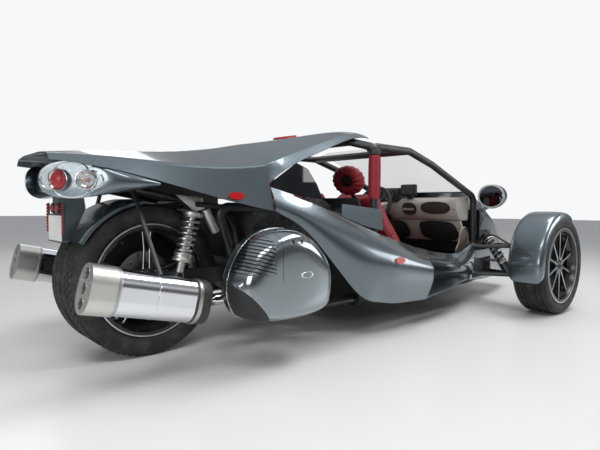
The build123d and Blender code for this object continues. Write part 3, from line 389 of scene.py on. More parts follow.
def grained_plastic(name, colour, rough=0.5, scale=900):
    plastic = Finish(name, Specular_IOR_Level=0.45)
    grain = plastic.cells(scale)
    tone = plastic.noise(6, 3)
    plastic.set("Base Color", plastic.mix(tone, colour, [c * 1.35 + 0.003 for c in colour]))
    plastic.set("Roughness", grain * 0.2 + rough)
    plastic.bump(grain, 0.4, 0.0004)
    return plastic.material


def leather(name, colour):
    hide = Finish(name, Specular_IOR_Level=0.4, Coat_Weight=0.08, Coat_Roughness=0.35)
    pores = hide.cells(620)
    creases = hide.noise(60, 5, 0.6)
    rubbed = hide.noise(4, 2)
    dark = [c * 0.55 for c in colour]
    hide.set("Base Color", hide.mix(rubbed * 0.6 + creases * 0.4, dark, colour))
    hide.set("Roughness", pores * 0.25 + 0.42)
    hide.bump(pores * 0.7 + creases * 0.5, 0.5, 0.0006)
    return hide.material


TYRE = tyre_rubber("tyre_rubber")
TUB = grained_plastic("black_composite", (0.014, 0.014, 0.015), 0.46)
DASH = grained_plastic("dark_dash", (0.022, 0.022, 0.023), 0.5)
# Painted reflection: this pale warm grey is a grey dash with the pale wall's reflection painted into its colour.
DASH_WITH_PAINTED_REFLECTION = grained_plastic("grey_dash_painted_wall_reflection", (0.36, 0.34, 0.31), 0.55)
LEATHER = leather("red_leather", (0.36, 0.018, 0.03))

# %% Glass and lamps
def clear_glass(name, colour, alpha, rough=0.02):
    glass = Finish(name, Roughness=rough, IOR=1.5, Specular_IOR_Level=0.6)
    speck = glass.noise(7, 3)
    glass.set("Base Color", glass.mix(speck, colour, [c * 0.9 for c in colour]))
    glass.set("Alpha", speck * 0.03 + alpha)
    return glass.material


def lamp_plastic(name, colour, glow=0.0):
    lamp = Finish(name, Coat_Weight=0.35, Coat_Roughness=0.03, IOR=1.4, Specular_IOR_Level=0.25)
    x, y, z = lamp.axes()
    ribs = (y * 900).sine() * (z * 900).sine()
    # Painted shade: the rib hollows are darker and the crowns lighter, following the bump.
    lamp.set("Base Color", lamp.mix(ribs.between(-1, 1), [c * 0.45 for c in colour], colour))
    lamp.set("Roughness", ribs * 0.04 + 0.16)
    lamp.bump(ribs, 0.35, 0.0006)
    if glow:
        lamp.set("Emission Color", colour)
        lamp.set("Emission Strength", glow)
    return lamp.material


GLASS = clear_glass("windscreen_glass", (0.72, 0.80, 0.82), 0.16)
DARK_GLASS = clear_glass("smoked_glass", (0.008, 0.010, 0.013), 0.93, 0.03)
LENS = clear_glass("clear_lens", (0.30, 0.31, 0.32), 0.07)
RED_LAMP = lamp_plastic("red_lamp", (0.55, 0.012, 0.012))
AMBER_LAMP = lamp_plastic("amber_lamp", (0.85, 0.22, 0.01))
CLEAR_LAMP = clear_glass("clear_lamp", (0.55, 0.56, 0.58), 0.22, 0.05)
WHITE_PLATE = grained_plastic("blank_plate", (0.62, 0.62, 0.60), 0.35, 300)


def radiator_fins(name):
    core = Finish(name, Metallic=0.7)
    x, y, z = core.axes()
    fins = (z * 2200).sine()
    # Painted shade: the gaps between the fins are coloured near black, the fin crowns lighter.
    core.set("Base Color", core.mix(fins.between(-1, 1), (0.004, 0.004, 0.004), (0.06, 0.06, 0.065)))
    core.set("Roughness", fins * 0.1 + 0.45)
    core.bump(fins, 0.8, 0.001)
    return core.material


FINS = radiator_fins("radiator_fins")

# %% [markdown]
# ## Dress the frame's own pieces
#
# Most solids already have the right shape and only need the right surface. The table pairs each of them with a finish.

# %% Finishes of the solids
WEARS = {
    PAINT: "rear_body nose_cowl side_panel_right side_panel_left sill_panel_right sill_panel_left seat_boards "
    "case_body_right case_body_left case_lid_right case_lid_left mirror_right mirror_left tail_lamp_pod rear_fender "
    "front_fender_right front_fender_left",
    BLACK_TUBE: "chassis_rails rear_subframe roll_cage swingarm suspension_right suspension_left",
    TUB: "cockpit_tub",
    GLASS: "windscreen",
    DARK_GLASS: "quarter_window_right quarter_window_left",
    ENGINE: "engine",
    STEEL: "rear_shock drive_chain steering_rack",
    BARE_CASTING: "knuckle_right knuckle_left",
    LENS: "headlamps tail_lens",
    DASH: "dashboard steering_wheel",
    SATIN: "pedals silencer_cap_right silencer_cap_left",
    LEATHER: "seat_right seat_left hoop_pads",
    CHROME: "silencer_right silencer_left",
    RED_LAMP: "tail_lamps roof_lamp side_markers",
    WHITE_PLATE: "number_plate",
    FINS: "radiators",
    RIM_BLACK: "front_rim_right front_rim_left rear_rim",
    TYRE: "front_tyre_right front_tyre_left rear_tyre",
}
for finish, names in WEARS.items():
    for name in names.split():
        shape = nodes[name]
        shape.data.materials.clear()
        shape.data.materials.append(finish)
dressed = {name for names in WEARS.values() for name in names.split()}
print("not dressed", sorted(set(nodes) - dressed))

# %% [markdown]
# ## Tools of the bench
#
# Nearly every added piece starts as a primitive and is shaped by a few operators. The calls below name the steps that
# come back: start from an outline, pull it out in stages, turn a profile round an axis, lay a hose, and finish. Each
# finished piece keeps its place in its mesh, so its object can stay at the origin.

# %% Selecting and editing
def deselect():
    bpy.ops.object.select_all(action="DESELECT")


def edit(piece, everything=True):
    """Opens the piece for editing with all of it selected, or nothing."""
    deselect()
    bpy.context.view_layer.objects.active = piece
    piece.select_set(True)
    bpy.ops.object.mode_set(mode="EDIT")
    bpy.ops.mesh.select_all(action="SELECT" if everything else "DESELECT")


def close():
    bpy.ops.object.mode_set(mode="OBJECT")


def seal():
    """Turns every face outwards and leaves edit mode."""
    bpy.ops.mesh.select_all(action="SELECT")
    bpy.ops.mesh.normals_make_consistent(inside=False)
    close()


def apply_all(piece):
    """Applies every modifier, then the object's own place."""
    deselect()
    bpy.context.view_layer.objects.active = piece
    piece.select_set(True)
    for modifier in list(piece.modifiers):
        bpy.ops.object.modifier_apply(modifier=modifier.name)
    bpy.ops.object.transform_apply(location=True, rotation=True, scale=True)


def merge(piece, distance=0.00005):
    """Joins doubled corners and turns all faces outwards."""
    edit(piece)
    bpy.ops.mesh.remove_doubles(threshold=distance)
    bpy.ops.mesh.normals_make_consistent(inside=False)
    close()


# %% Shaping
def outline_face(name, points):
    """A face whose corners are the given points, made from a circle with as many corners."""
    deselect()
    bpy.ops.mesh.primitive_circle_add(vertices=len(points), radius=1, fill_type="NGON")
    piece = bpy.context.object
    piece.name = name
    for corner, spot in zip(piece.data.vertices, points):
        corner.co = spot
    return piece


def pull(way, stretch=(1, 1, 1), centre=(0, 0, 0)):
    """Extrudes what is selected and then scales it about the centre."""
    bpy.ops.mesh.extrude_region_move(TRANSFORM_OT_translate={"value": way})
    if stretch != (1, 1, 1):
        bpy.ops.transform.resize(value=stretch, center_override=centre)


def slab(name, points, way):
    """An outline pulled one way into a solid plate."""
    piece = outline_face(name, points)
    edit(piece)
    pull(way)
    seal()
    return piece


def rounded(points, rounds=3):
    """Cuts the corners of a closed run again and again, until it is a smooth loop."""
    spots = [Vector(point) for point in points]
    for _ in range(rounds):
        cut = []
        for near, far in zip(spots, spots[1:] + spots[:1]):
            cut += [near.lerp(far, 0.25), near.lerp(far, 0.75)]
        spots = cut
    return spots


def turned(name, profile, spot, way, steps=64, arc=2 * pi):
    """Spins a closed profile of (radius, height) in millimetres and stands it at the spot, its axis along way."""
    deselect()
    bpy.ops.mesh.primitive_circle_add(vertices=len(profile), radius=1, fill_type="NOTHING")
    piece = bpy.context.object
    piece.name = name
    for corner, (radius, height) in zip(piece.data.vertices, profile):
        corner.co = (max(radius, 0.02) / 1000, 0, height / 1000)
    edit(piece)
    bpy.ops.mesh.spin(steps=steps, angle=arc, center=(0, 0, 0), axis=(0, 0, 1))
    close()
    merge(piece)
    piece.rotation_euler = Vector(way).to_track_quat("Z", "X").to_euler()
    piece.location = spot
    apply_all(piece)
    return piece


def hose(name, points, radius, sides=12, closed=False):
    """A round tube along a smooth curve through the given points."""
    deselect()
    bpy.ops.curve.primitive_bezier_curve_add()
    curve = bpy.context.object
    curve.name = name
    run = curve.data.splines[0].bezier_points
    run.add(len(points) - len(run))
    for knot, spot in zip(run, points):
        knot.co = spot
        knot.handle_left_type = knot.handle_right_type = "AUTO"
    curve.data.splines[0].use_cyclic_u = closed
    curve.data.resolution_u = 8
    curve.data.bevel_depth = radius
    curve.data.bevel_resolution = max(sides // 4 - 1, 1)
    curve.data.use_fill_caps = not closed
    bpy.ops.object.convert(target="MESH")
    piece = bpy.context.object
    apply_all(piece)
    return piece


# %% Finishing
def finish(piece, material, slot, body="body", smooth=35, wall=0, edge=0, levels=0):
    """Applies the piece's modifiers and gives it its finish and body; the slot is not used."""
    if wall:
        shell = piece.modifiers.new("wall", "SOLIDIFY")
        shell.thickness, shell.offset = wall / 1000, -1
    if edge:
        soften = piece.modifiers.new("edge", "BEVEL")
        soften.width, soften.segments, soften.limit_method = edge / 1000, 2, "ANGLE"
    if levels:
        round_off = piece.modifiers.new("round", "SUBSURF")
        round_off.levels = round_off.render_levels = levels
    apply_all(piece)
    bpy.ops.object.shade_smooth_by_angle(angle=radians(smooth))
    if not piece.data.materials:
        piece.data.materials.append(material)
    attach(piece, body)
    return piece


def copies(piece, name, spots):
    """Copies a small piece to each spot, each copy with its own mesh, and joins them into one."""
    made = []
    for spot in spots:
        twin = piece.copy()
        twin.data = piece.data.copy()
        bpy.context.collection.objects.link(twin)
        twin.location = spot
        made.append(twin)
    deselect()
    for twin in made:
        twin.select_set(True)
    bpy.context.view_layer.objects.active = made[0]
    bpy.ops.object.join()
    joined = bpy.context.object
    joined.name = name
    bpy.data.objects.remove(piece)
    apply_all(joined)
    return joined


def mirrored(piece, name):
    """The left-hand copy of a right-hand piece."""
    twin = piece.copy()
    twin.data = piece.data.copy()
    twin.name = name
    bpy.context.collection.objects.link(twin)
    for corner in twin.data.vertices:
        corner.co.y = -corner.co.y
    edit(twin)
    bpy.ops.mesh.flip_normals()
    close()
    return twin


# %% [markdown]
# ## Side cases
#
# Each case is an egg cut in half along the vehicle: the inner half is bolted on, the outer half is a lid that hinges
# down. A flat plate with a taper looks like a lunch box, so both halves are domes. The outline is pulled outwards in
# stages, and each stage shrinks a little more than the last, as a superellipse does. A bright band hides the seam.

# %% Case halves
CASE_RUN = ((170, 198), (552, 198), (584, 290), (574, 424), (446, 548), (318, 566), (196, 524), (112, 400), (108, 290))
CASE_MIDDLE = (330, 368)
CASE_IN, CASE_SPLIT, CASE_OUT = 486, 562, 700


def case_outline(y, grow=0):
    """The case's smooth outline at a distance from the middle plane, grown by a few millimetres."""
    loop = rounded([(x, z, 0) for x, z in CASE_RUN], 3)
    spots = []
    for spot in loop:
        away = Vector((spot.x - CASE_MIDDLE[0], spot.y - CASE_MIDDLE[1], 0))
        spot = spot + away.normalized() * (grow + 5)
        spots.append(at(spot.x, -y, spot.y))
    return spots


def dome(name, start_y, end_y, fullness, stages=12):
    """Pulls the outline from start to end, each stage a little smaller, and leaves the start open."""
    piece = outline_face(name, case_outline(start_y))
    edit(piece)
    depth = (end_y - start_y) / 1000
    centre = at(CASE_MIDDLE[0], 0, CASE_MIDDLE[1])
    travelled, size = 0.0, 1.0
    for stage in range(1, stages + 1):
        turn = stage / stages * pi / 2 * 0.97
        distance = depth * sin(turn) ** fullness[0]
        scale = cos(turn) ** fullness[1]
        step = scale / size
        pull((0, -(distance - travelled), 0), (step, 1, step), centre)
        travelled, size = distance, scale
    close()
    return piece


lid = dome("case_lid_dome_right", CASE_SPLIT + 0.6, CASE_OUT - 1, (0.85, 0.24))
edit(lid)
low_rear, low_front = at(60, -600, 402), at(262, -600, 180)
run = (low_front - low_rear).normalized()
bpy.ops.mesh.bisect(plane_co=low_rear, plane_no=(run.z, 0, -run.x))
close()
lid.data.materials.append(None)
lid.data.materials.append(TUB)
for face in lid.data.polygons:
    behind = (face.center - low_rear).dot(Vector((run.z, 0, -run.x)))
    if behind > 0:
        face.material_index = 1
shell = dome("case_body_dome_right", CASE_SPLIT, CASE_IN, (0.8, 0.16), 8)

# %% [markdown]
# The lid's louvres, its small oval holes and its pressed crease are too fine for faces of their own. They are bands and
# dots worked out from the object's own coordinates, so they stay in place when the lid swings. They are painted near
# black as the shade inside the slots, the holes and the crease.

# %% The lid's paint
def lid_paint(name):
    paint = Finish(name, Metallic=0.95, Coat_Weight=1.0, Coat_Roughness=0.02)
    x, y, z = paint.axes()
    rear = at(0, 0, 0).x
    along = x - rear
    louvre = (z * 420 + along * 120).sine().between(0.1, 0.5)
    area = along.between(0.245, 0.235) * z.between(0.395, 0.405) * z.between(0.545, 0.53)
    crease = ((along - 0.272).size()).below(0.0012) * z.between(0.36, 0.37)
    dots = (along * 140).sine().between(0.55, 0.75) * ((z - 0.515).size()).between(0.010, 0.007)
    dots = dots * along.between(0.285, 0.29) * along.between(0.42, 0.415)
    # Painted shade: the slots, the holes and the crease are coloured near black for the shade inside them.
    dark = (louvre * area).maths("MAXIMUM", crease).maths("MAXIMUM", dots)
    flakes = paint.node("ShaderNodeSeparateColor", None, {"Color": paint.cells(2600, output="Color")})
    coat = paint.mix(flakes * 0.6 + paint.noise(1.3, 1) * 0.4, (0.16, 0.19, 0.21), (0.34, 0.38, 0.40))
    paint.set("Base Color", paint.mix(dark, coat, (0.006, 0.006, 0.007)))
    paint.set("Roughness", flakes * 0.08 + dark * 0.2 + 0.1)
    paint.bump(dark * -1, 0.3, 0.0015)
    return paint.material


LID_PAINT = lid_paint("slate_metallic_lid")
lid.data.materials[0] = LID_PAINT
for half in (lid, shell):
    walls = half.modifiers.new("wall", "SOLIDIFY")
    walls.thickness, walls.offset = 0.0035, -1
    walls.use_quality_normals = True
edit(lid)
seal()
edit(shell)
seal()
lid_left = mirrored(lid, "case_lid_dome_left")
shell_left = mirrored(shell, "case_body_dome_left")
HALVES = (
    (lid, "right", "lid"),
    (lid_left, "left", "lid"),
    (shell, "right", "body"),
    (shell_left, "left", "body"),
)
for piece, side, part in HALVES:
    finish(piece, PAINT, "paint", f"case_lid_{side}" if part == "lid" else "body", smooth=50)
    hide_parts(f"case_{part}_{side}")

# %% Bright band over each seam and the latch
def case_band(name):
    """A thin rounded strip round the case's seam."""
    piece = outline_face(name, case_outline(CASE_SPLIT - 9, 1.0))
    edit(piece)
    bpy.ops.mesh.delete(type="ONLY_FACE")
    bpy.ops.mesh.select_all(action="SELECT")
    bpy.ops.mesh.extrude_edges_move(TRANSFORM_OT_translate={"value": (0, -0.0088, 0)})
    seal()
    return piece


band = case_band("case_band_right")
band_left = mirrored(band, "case_band_left")
finish(band, CHROME, "chrome", wall=2.5, edge=0.8, smooth=60)
finish(band_left, CHROME, "chrome", wall=2.5, edge=0.8, smooth=60)
oval = ((17, 0), (22, 0), (22, 3), (20.5, 5), (18, 5), (17, 3))
for side, sign in SIDES:
    latch = turned(f"case_latch_ring_{side}", oval, (0, 0, 0), (0, sign, 0), 48)
    hollow = ((0, 0), (17.2, 0), (17.2, 2.5), (12, 1.2), (5, 0.6), (0, 0.6))
    cup = turned(f"case_latch_cup_{side}", hollow, (0, 0, 0), (0, sign, 0), 48)
    for part, material, slot in ((latch, CHROME, "chrome"), (cup, TUB, "tub")):
        part.scale = (1.5, 1, 0.62)
        part.location = at(396, sign * (CASE_OUT - 3.4), 381)
        finish(part, material, slot, f"case_lid_{side}")

# %% [markdown]
# ## Tyres
#
# A tyre is a turned shape until its tread, and the tread is one block many times over. The profile is spun in as many
# steps as there are blocks, the faces of the ribs are inset one by one and raised, and every corner is then turned
# a little round the axle, more the further out it is, which gives the swept V of a road tyre.

# %% Tyres with a tread
def tyre(name, spot, radius, width, rim_radius, rim_width, ribs, blocks, sweep):
    """A hollow tyre whose tread blocks are raised from a turned base."""
    height, half, bead = radius - rim_radius, width / 2 - 1.3, rim_width / 2
    base = radius - 8
    wall = [
        (rim_radius - 11, bead - 14),
        (rim_radius - 11.5, bead - 7),
        (rim_radius + 3, bead - 6.6),
        (rim_radius + 6, bead - 3),
        (rim_radius + 0.16 * height, half - 6),
        (rim_radius + 0.20 * height, half - 6.5),
        (rim_radius + 0.30 * height, half - 2),
        (rim_radius + 0.45 * height, half),
        (rim_radius + 0.60 * height, half - 0.6),
        (rim_radius + 0.64 * height, half - 2.4),
        (rim_radius + 0.76 * height, half - 4.5),
        (rim_radius + 0.86 * height, half - 9),
        (base - 4, half - 16),
        (base - 1, half - 21),
    ]
    edges = [edge for rib in reversed(ribs) for edge in reversed(rib)]
    tread = [(base, edge) for edge in edges if edge > 0] + [(base, -edge) for edge in reversed(edges) if edge > 0]
    inner = [
        (rim_radius - 4, bead - 24),
        (rim_radius + 0.5 * height, half - 13),
        (radius - 20, half - 34),
    ]
    outside = wall + tread + [(r, -h) for r, h in reversed(wall)]
    profile = outside + [(r, -h) for r, h in inner] + list(reversed(inner))
    deselect()
    bpy.ops.mesh.primitive_circle_add(vertices=len(profile), radius=1, fill_type="NOTHING")
    piece = bpy.context.object
    piece.name = name
    for corner, (r, h) in zip(piece.data.vertices, profile):
        corner.co = (r / 1000, 0, h / 1000)
    edit(piece)
    bpy.ops.mesh.spin(steps=blocks, angle=2 * pi, center=(0, 0, 0), axis=(0, 0, 1))
    close()
    merge(piece)
    lowest = base / 1000 * cos(pi / blocks) - 0.0004
    groove, tread_depth = 0.0034, 0.0078
    edit(piece, False)
    close()
    for face in piece.data.polygons:
        middle = face.center
        out = Vector((middle.x, middle.y)).length
        level = abs(middle.z) * 1000
        face.select = out > lowest and any(low < level < high for low, high in ribs)
    bpy.ops.object.mode_set(mode="EDIT")
    bpy.ops.mesh.select_mode(type="FACE")
    bpy.ops.mesh.inset(thickness=groove, depth=tread_depth, use_individual=True)
    close()
    for corner in piece.data.vertices:
        turn = sweep * abs(corner.co.z)
        x, y = corner.co.x, corner.co.y
        corner.co.x, corner.co.y = x * cos(turn) - y * sin(turn), x * sin(turn) + y * cos(turn)
    piece.rotation_euler = (-pi / 2, 0, 0)
    piece.location = spot
    return piece


REAR_RIBS = ((0, 16), (26, 56), (66, 92), (100, 123))
FRONT_RIBS = ((0, 9), (14, 34), (40, 60), (64, 80))
rear = tyre("rear_tyre_tread", at(0, 0, REAR_Z), 331, 295, 246, 272, REAR_RIBS, 68, 1.9)
finish(rear, TYRE, "tyre", "rear_wheel", smooth=28)
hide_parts("rear_tyre")
for side, sign in SIDES:
    name = f"front_tyre_tread_{side}"
    front = tyre(name, at(WHEELBASE, sign * FRONT_Y, FRONT_Z), 300, 205, 233, 184, FRONT_RIBS, 84, 1.8)
    finish(front, TYRE, "tyre", f"front_wheel_{side}", smooth=28)
    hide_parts(f"front_tyre_{side}")

# %% [markdown]
# ## Wheels
#
# The front wheels have ten thin spokes, black with bright machined edges, and the rear wheel has five pairs. A spoke is
# an outline that is pulled to its depth and bevelled: the narrow bevel faces are what the lathe would cut, so they get
# the bright metal. One spoke is then spun round the hub as copies.

# %% Rims
EDGE_METAL = machined("machined_edge", (0.62, 0.62, 0.63), 0.2)


def barrel(radius, width):
    """The rim's section: flanges, bead seats and the well, as (radius, height) in millimetres."""
    half, seat, well = width / 2, radius - 13, radius - 33
    outer = [(radius - 1, half), (radius, half - 1.5), (radius, half - 6), (seat, half - 6), (seat - 2, half - 28)]
    outer += [(well, half - 46)]
    inner = [(seat - 9, half), (seat - 12, half - 28), (well - 9, half - 46)]
    outside = outer + [(r, -h) for r, h in reversed(outer)]
    return outside + [(r, -h) for r, h in inner] + list(reversed(inner))


def spoke_ring(name, count, outline, depth, offset, spot, outward):
    """Spokes with machined edges, spun round the axle, their faces at the given distance from the wheel's middle."""
    piece = slab(name, [(x / 1000, y / 1000, offset / 1000) for x, y in outline], (0, 0, -depth / 1000))
    bevel = piece.modifiers.new("edge", "BEVEL")
    bevel.width, bevel.segments, bevel.limit_method, bevel.angle_limit = 0.0024, 1, "ANGLE", radians(60)
    deselect()
    piece.select_set(True)
    bpy.context.view_layer.objects.active = piece
    bpy.ops.object.modifier_apply(modifier="edge")
    piece.data.materials.append(RIM_BLACK)
    piece.data.materials.append(EDGE_METAL)
    for face in piece.data.polygons:
        if 0.3 < face.normal.z < 0.95:
            face.material_index = 1
    edit(piece)
    turn = 2 * pi / count
    bpy.ops.mesh.spin(steps=count - 1, angle=turn * (count - 1), center=(0, 0, 0), axis=(0, 0, 1), dupli=True)
    close()
    piece.rotation_euler = Vector((0, outward, 0)).to_track_quat("Z", "X").to_euler()
    piece.location = spot
    return piece


def wheel(title, spot, radius, width, outward, spokes, face, disc_at, disc_radius, body, replaced):
    """A rim with its spokes, hub, bolts, brake disc and valve."""
    way = (0, outward, 0)
    rim = turned(f"{title}_barrel", barrel(radius, width), spot, way, 96)
    rim.data.materials.append(RIM_BLACK)
    finish(rim, RIM_BLACK, "rim", body, edge=0.8)
    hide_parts(replaced)
    half = width / 2
    lip = ((radius - 1.2, half - 0.4), (radius - 1.2, half + 0.7), (radius - 7, half + 0.7), (radius - 7, half - 0.4))
    finish(turned(f"{title}_lip", lip, spot, way, 96), EDGE_METAL, "steel", body)
    count, outline = spokes
    ring = spoke_ring(f"{title}_spokes", count, outline, 15, half - face, spot, outward)
    finish(ring, RIM_BLACK, "rim", body, smooth=25)
    top = half - face
    hub = ((0, top + 7), (20, top + 7), (23, top + 4), (24, top - 1), (50, top - 2), (52, top - 6), (52, top - 22))
    hub += ((38, top - 26), (38, half - disc_at + 4), (0.4, half - disc_at + 4))
    finish(turned(f"{title}_hub", hub, spot, way, 48), RIM_BLACK, "rim", body, edge=0.7)
    nut = turned(f"{title}_nut", ((0, 0), (5.5, 0), (6.2, -1), (6.2, -5), (0, -5)), (0, 0, 0), way, 6)
    turns = [pi / 2 + i * 2 * pi / 5 for i in range(5)]
    level = outward * (top + 3.5) / 1000
    places = [spot + Vector((0.035 * cos(turn), level, 0.035 * sin(turn))) for turn in turns]
    finish(copies(nut, f"{title}_nuts", places), STEEL, "steel", body, smooth=20)
    level = half - disc_at
    disc = ((disc_radius, level + 3.5), (disc_radius, level - 3.5), (72, level - 3.5), (72, level + 3.5))
    finish(turned(f"{title}_disc", disc, spot, way, 72), DISC, "steel", body)
    bell = ((72.5, level + 3), (72.5, level + 6), (60, level + 9), (36, level + 9), (36, level - 3), (72.5, level - 3))
    finish(turned(f"{title}_bell", bell, spot, way, 48), BLACK_TUBE, "black_tube", body, edge=0.8)
    stem = ((0, 12), (2.2, 12), (2.6, 0), (4, -4), (4, -12), (0, -12))
    angle = pi * 0.7
    reach = (radius - 44) / 1000
    valve_spot = spot + Vector((reach * cos(angle), outward * (half - 34) / 1000, reach * sin(angle)))
    finish(turned(f"{title}_valve", stem, valve_spot, way, 16), STEEL, "steel", body)


def brake_disc_metal(name):
    """Swept steel with rows of drilled holes, the holes painted near black as shade."""
    disc = Finish(name, Metallic=1.0)
    x, y, z = disc.axes()
    grain = disc.noise(1200, 2)
    holes = disc.cells(62)
    # Painted shade: near-black dots where the cells are small stand for the drilled holes.
    disc.set("Base Color", disc.mix(holes.between(0.20, 0.26), (0.01, 0.01, 0.01), (0.42, 0.42, 0.43)))
    disc.set("Roughness", grain * 0.2 + 0.22)
    disc.bump(grain, 0.15, 0.0003)
    return disc.material


DISC = brake_disc_metal("drilled_disc")
THIN = ((40, -9), (92, -5), (206, -6.5), (213, -10), (213, 10), (206, 6.5), (92, 5), (40, 9))
for side, sign in SIDES:
    spot = at(WHEELBASE, sign * FRONT_Y, FRONT_Z)
    title = f"front_wheel_{side}"
    wheel(title, spot, 233, 184, sign, (10, THIN), 20, 135, 145, title, f"front_rim_{side}")
TWIN = ((44, 7), (130, 8), (208, 13), (232, 16), (232, 28), (208, 24), (130, 18), (44, 22))
MIRRORED = tuple((x, -y) for x, y in reversed(TWIN))
wheel("rear_wheel", at(0, 0, REAR_Z), 246, 272, -1, (5, TWIN), 40, 85, 120, "rear_wheel", "rear_rim")
inner = ((60, -30), (60, -36), (206, -36), (209, -32), (209, -26), (206, -30))
finish(turned("rear_wheel_inner", inner, at(0, 0, REAR_Z), (0, -1, 0), 64), TUB, "tub", "rear_wheel")
other = spoke_ring("rear_wheel_spokes_other", 5, MIRRORED, 15, 96, at(0, 0, REAR_Z), -1)
finish(other, RIM_BLACK, "rim", "rear_wheel", smooth=25)
sprocket = ((82.5, 3), (82.5, -3), (34, -3), (34, 3))
teeth = turned("rear_sprocket", sprocket, at(0, 163, REAR_Z), (0, 1, 0), 46)
edit(teeth, False)
close()
for face in teeth.data.polygons:
    middle = face.center - at(0, 163, REAR_Z)
    face.select = Vector((middle.x, middle.z)).length > 0.0815
bpy.ops.object.mode_set(mode="EDIT")
bpy.ops.mesh.select_mode(type="FACE")
bpy.ops.mesh.inset(thickness=0.0012, depth=0.0, use_individual=True)
close()
finish(teeth, STEEL, "steel", "rear_wheel", smooth=20)
carrier_profile = ((37, -60), (37, 160), (14.1, 160), (14.1, -60))
carrier = turned("rear_carrier", carrier_profile, at(0, 0, REAR_Z), (0, 1, 0), 40)
finish(carrier, RIM_BLACK, "rim", "rear_wheel", edge=0.8)

# %% [markdown]
# ## Silencers
#
# Each silencer is a racetrack in section. Its bands are the same racetrack pulled a short way, so one helper makes the
# clamp, the dark boot at the front and the lip of the cap, and the three outlets get turned liners.

# %% Silencer trim
SLOPE = radians(13)
ALONG = Vector((cos(SLOPE), 0, -sin(SLOPE)))
UPWARD = Vector((sin(SLOPE), 0, cos(SLOPE)))


def racetrack(width, height, count=12):
    """A closed racetrack outline about the origin, as pairs in millimetres."""
    reach, rise = width / 2, height / 2 - width / 2
    run = []
    for middle, start in ((rise, 0), (-rise, pi)):
        for step in range(count + 1):
            turn = start + pi * step / count
            run.append((reach * cos(turn), middle + reach * sin(turn)))
    return run


def band(name, tail, start, length, width, height, material, slot, edge=1.5):
    """A racetrack sleeve along a silencer, at a distance from its tail."""
    root = tail + ALONG * start / 1000
    ring = [root + Vector((0, y / 1000, 0)) + UPWARD * z / 1000 for y, z in racetrack(width, height)]
    piece = slab(name, ring, ALONG * length / 1000)
    return finish(piece, material, slot, edge=edge)


BOOT = grained_plastic("heat_boot", (0.035, 0.03, 0.028), 0.42, 300)
for side, sign in SIDES:
    tail = at(-394, sign * 486, 384)
    band(f"silencer_clamp_{side}", tail, 86, 14, 127, 172, STEEL, "steel")
    band(f"silencer_boot_{side}", tail, 388, 64, 124, 169, BOOT, "black_tube", 3)
    band(f"silencer_boot_band_{side}", tail, 398, 16, 127, 172, STEEL, "steel")
    band(f"silencer_rib_{side}", tail, 236, 5, 121, 166, CHROME, "chrome", 1)
    lining = ((20.6, -1.5), (18, -1.5), (17.4, 2), (17.4, 60), (20.2, 60))
    liner = turned(f"outlet_{side}", lining, (0, 0, 0), ALONG, 32)
    spots = [tail + UPWARD * step / 1000 for step in (-50, 0, 50)]
    finish(copies(liner, f"silencer_outlets_{side}", spots), STEEL, "steel", smooth=40)
    screw = turned(f"screw_{side}", ((0, 1.4), (3.4, 1.4), (4.2, 0), (4.2, -3), (0, -3)), (0, 0, 0), -ALONG, 12)
    spots = [tail + UPWARD * rise / 1000 + Vector((0, across / 1000, 0)) for rise in (-25, 25) for across in (-42, 42)]
    finish(copies(screw, f"silencer_screws_{side}", spots), STEEL, "steel", smooth=40)

# %% [markdown]
# ## Rear damper
#
# The coil spring is a tube along a helix. It stands between two turned collars over the damper's bright body.

# %% Coil spring and damper
def coil(name, foot, head, radius, wire, turns):
    """A coil spring from the foot to the head."""
    axis = head - foot
    way = axis.normalized()
    side = way.orthogonal().normalized()
    other = way.cross(side)
    steps = turns * 12
    points = []
    for step in range(steps + 1):
        share = step / steps
        turn = 2 * pi * turns * share
        points.append(foot + axis * share + (side * cos(turn) + other * sin(turn)) * radius)
    return hose(name, points, wire, 12)


SHOCK_FOOT, SHOCK_HEAD = at(84, -218, 351), at(166, -218, 660)
SHOCK_WAY = (SHOCK_HEAD - SHOCK_FOOT).normalized()
spring_foot, spring_head = SHOCK_FOOT + SHOCK_WAY * 0.098, SHOCK_HEAD - SHOCK_WAY * 0.046
finish(coil("shock_spring", spring_foot, spring_head, 0.034, 0.0058, 7), STEEL, "steel")
body_profile = ((0, 16), (17, 16), (17, 60), (42, 62), (44, 66), (44, 74), (40, 78), (40, 90), (43, 92), (43, 97))
body_profile += ((22, 99), (22, 178), (13, 182), (13, 262), (38, 264), (42, 268), (42, 280), (30, 286), (17, 290))
body_profile += ((17, 304), (0, 304))
damper = turned("shock_body", body_profile, SHOCK_FOOT, SHOCK_WAY, 40)
finish(damper, SATIN, "satin", edge=0.8)
reservoir = ((0, 0), (19, 0), (23, 4), (23, 116), (19, 120), (0, 120))
reservoir_spot = SHOCK_HEAD + Vector((0.046, 0, -0.02))
finish(turned("shock_reservoir", reservoir, reservoir_spot, (0.5, 0, -0.86), 32), SATIN, "satin", edge=1)
for name, spot in (("foot", SHOCK_FOOT), ("head", SHOCK_HEAD)):
    eye = ((9, -11), (19, -11), (19, 11), (9, 11))
    finish(turned(f"shock_eye_{name}", eye, spot, (0, 1, 0), 32), STEEL, "steel", edge=1)
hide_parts("rear_shock")

# %% [markdown]
# ## Tail lamps
#
# Each corner of the tail carries a painted pod that runs forward to a point. Its open end faces out at forty-five
# degrees and holds a red lamp and a clear one under a single clear cover with a bright rim. Pod and cover are grids
# mapped on to their form, as a modeller would pull them out of a block of clay.

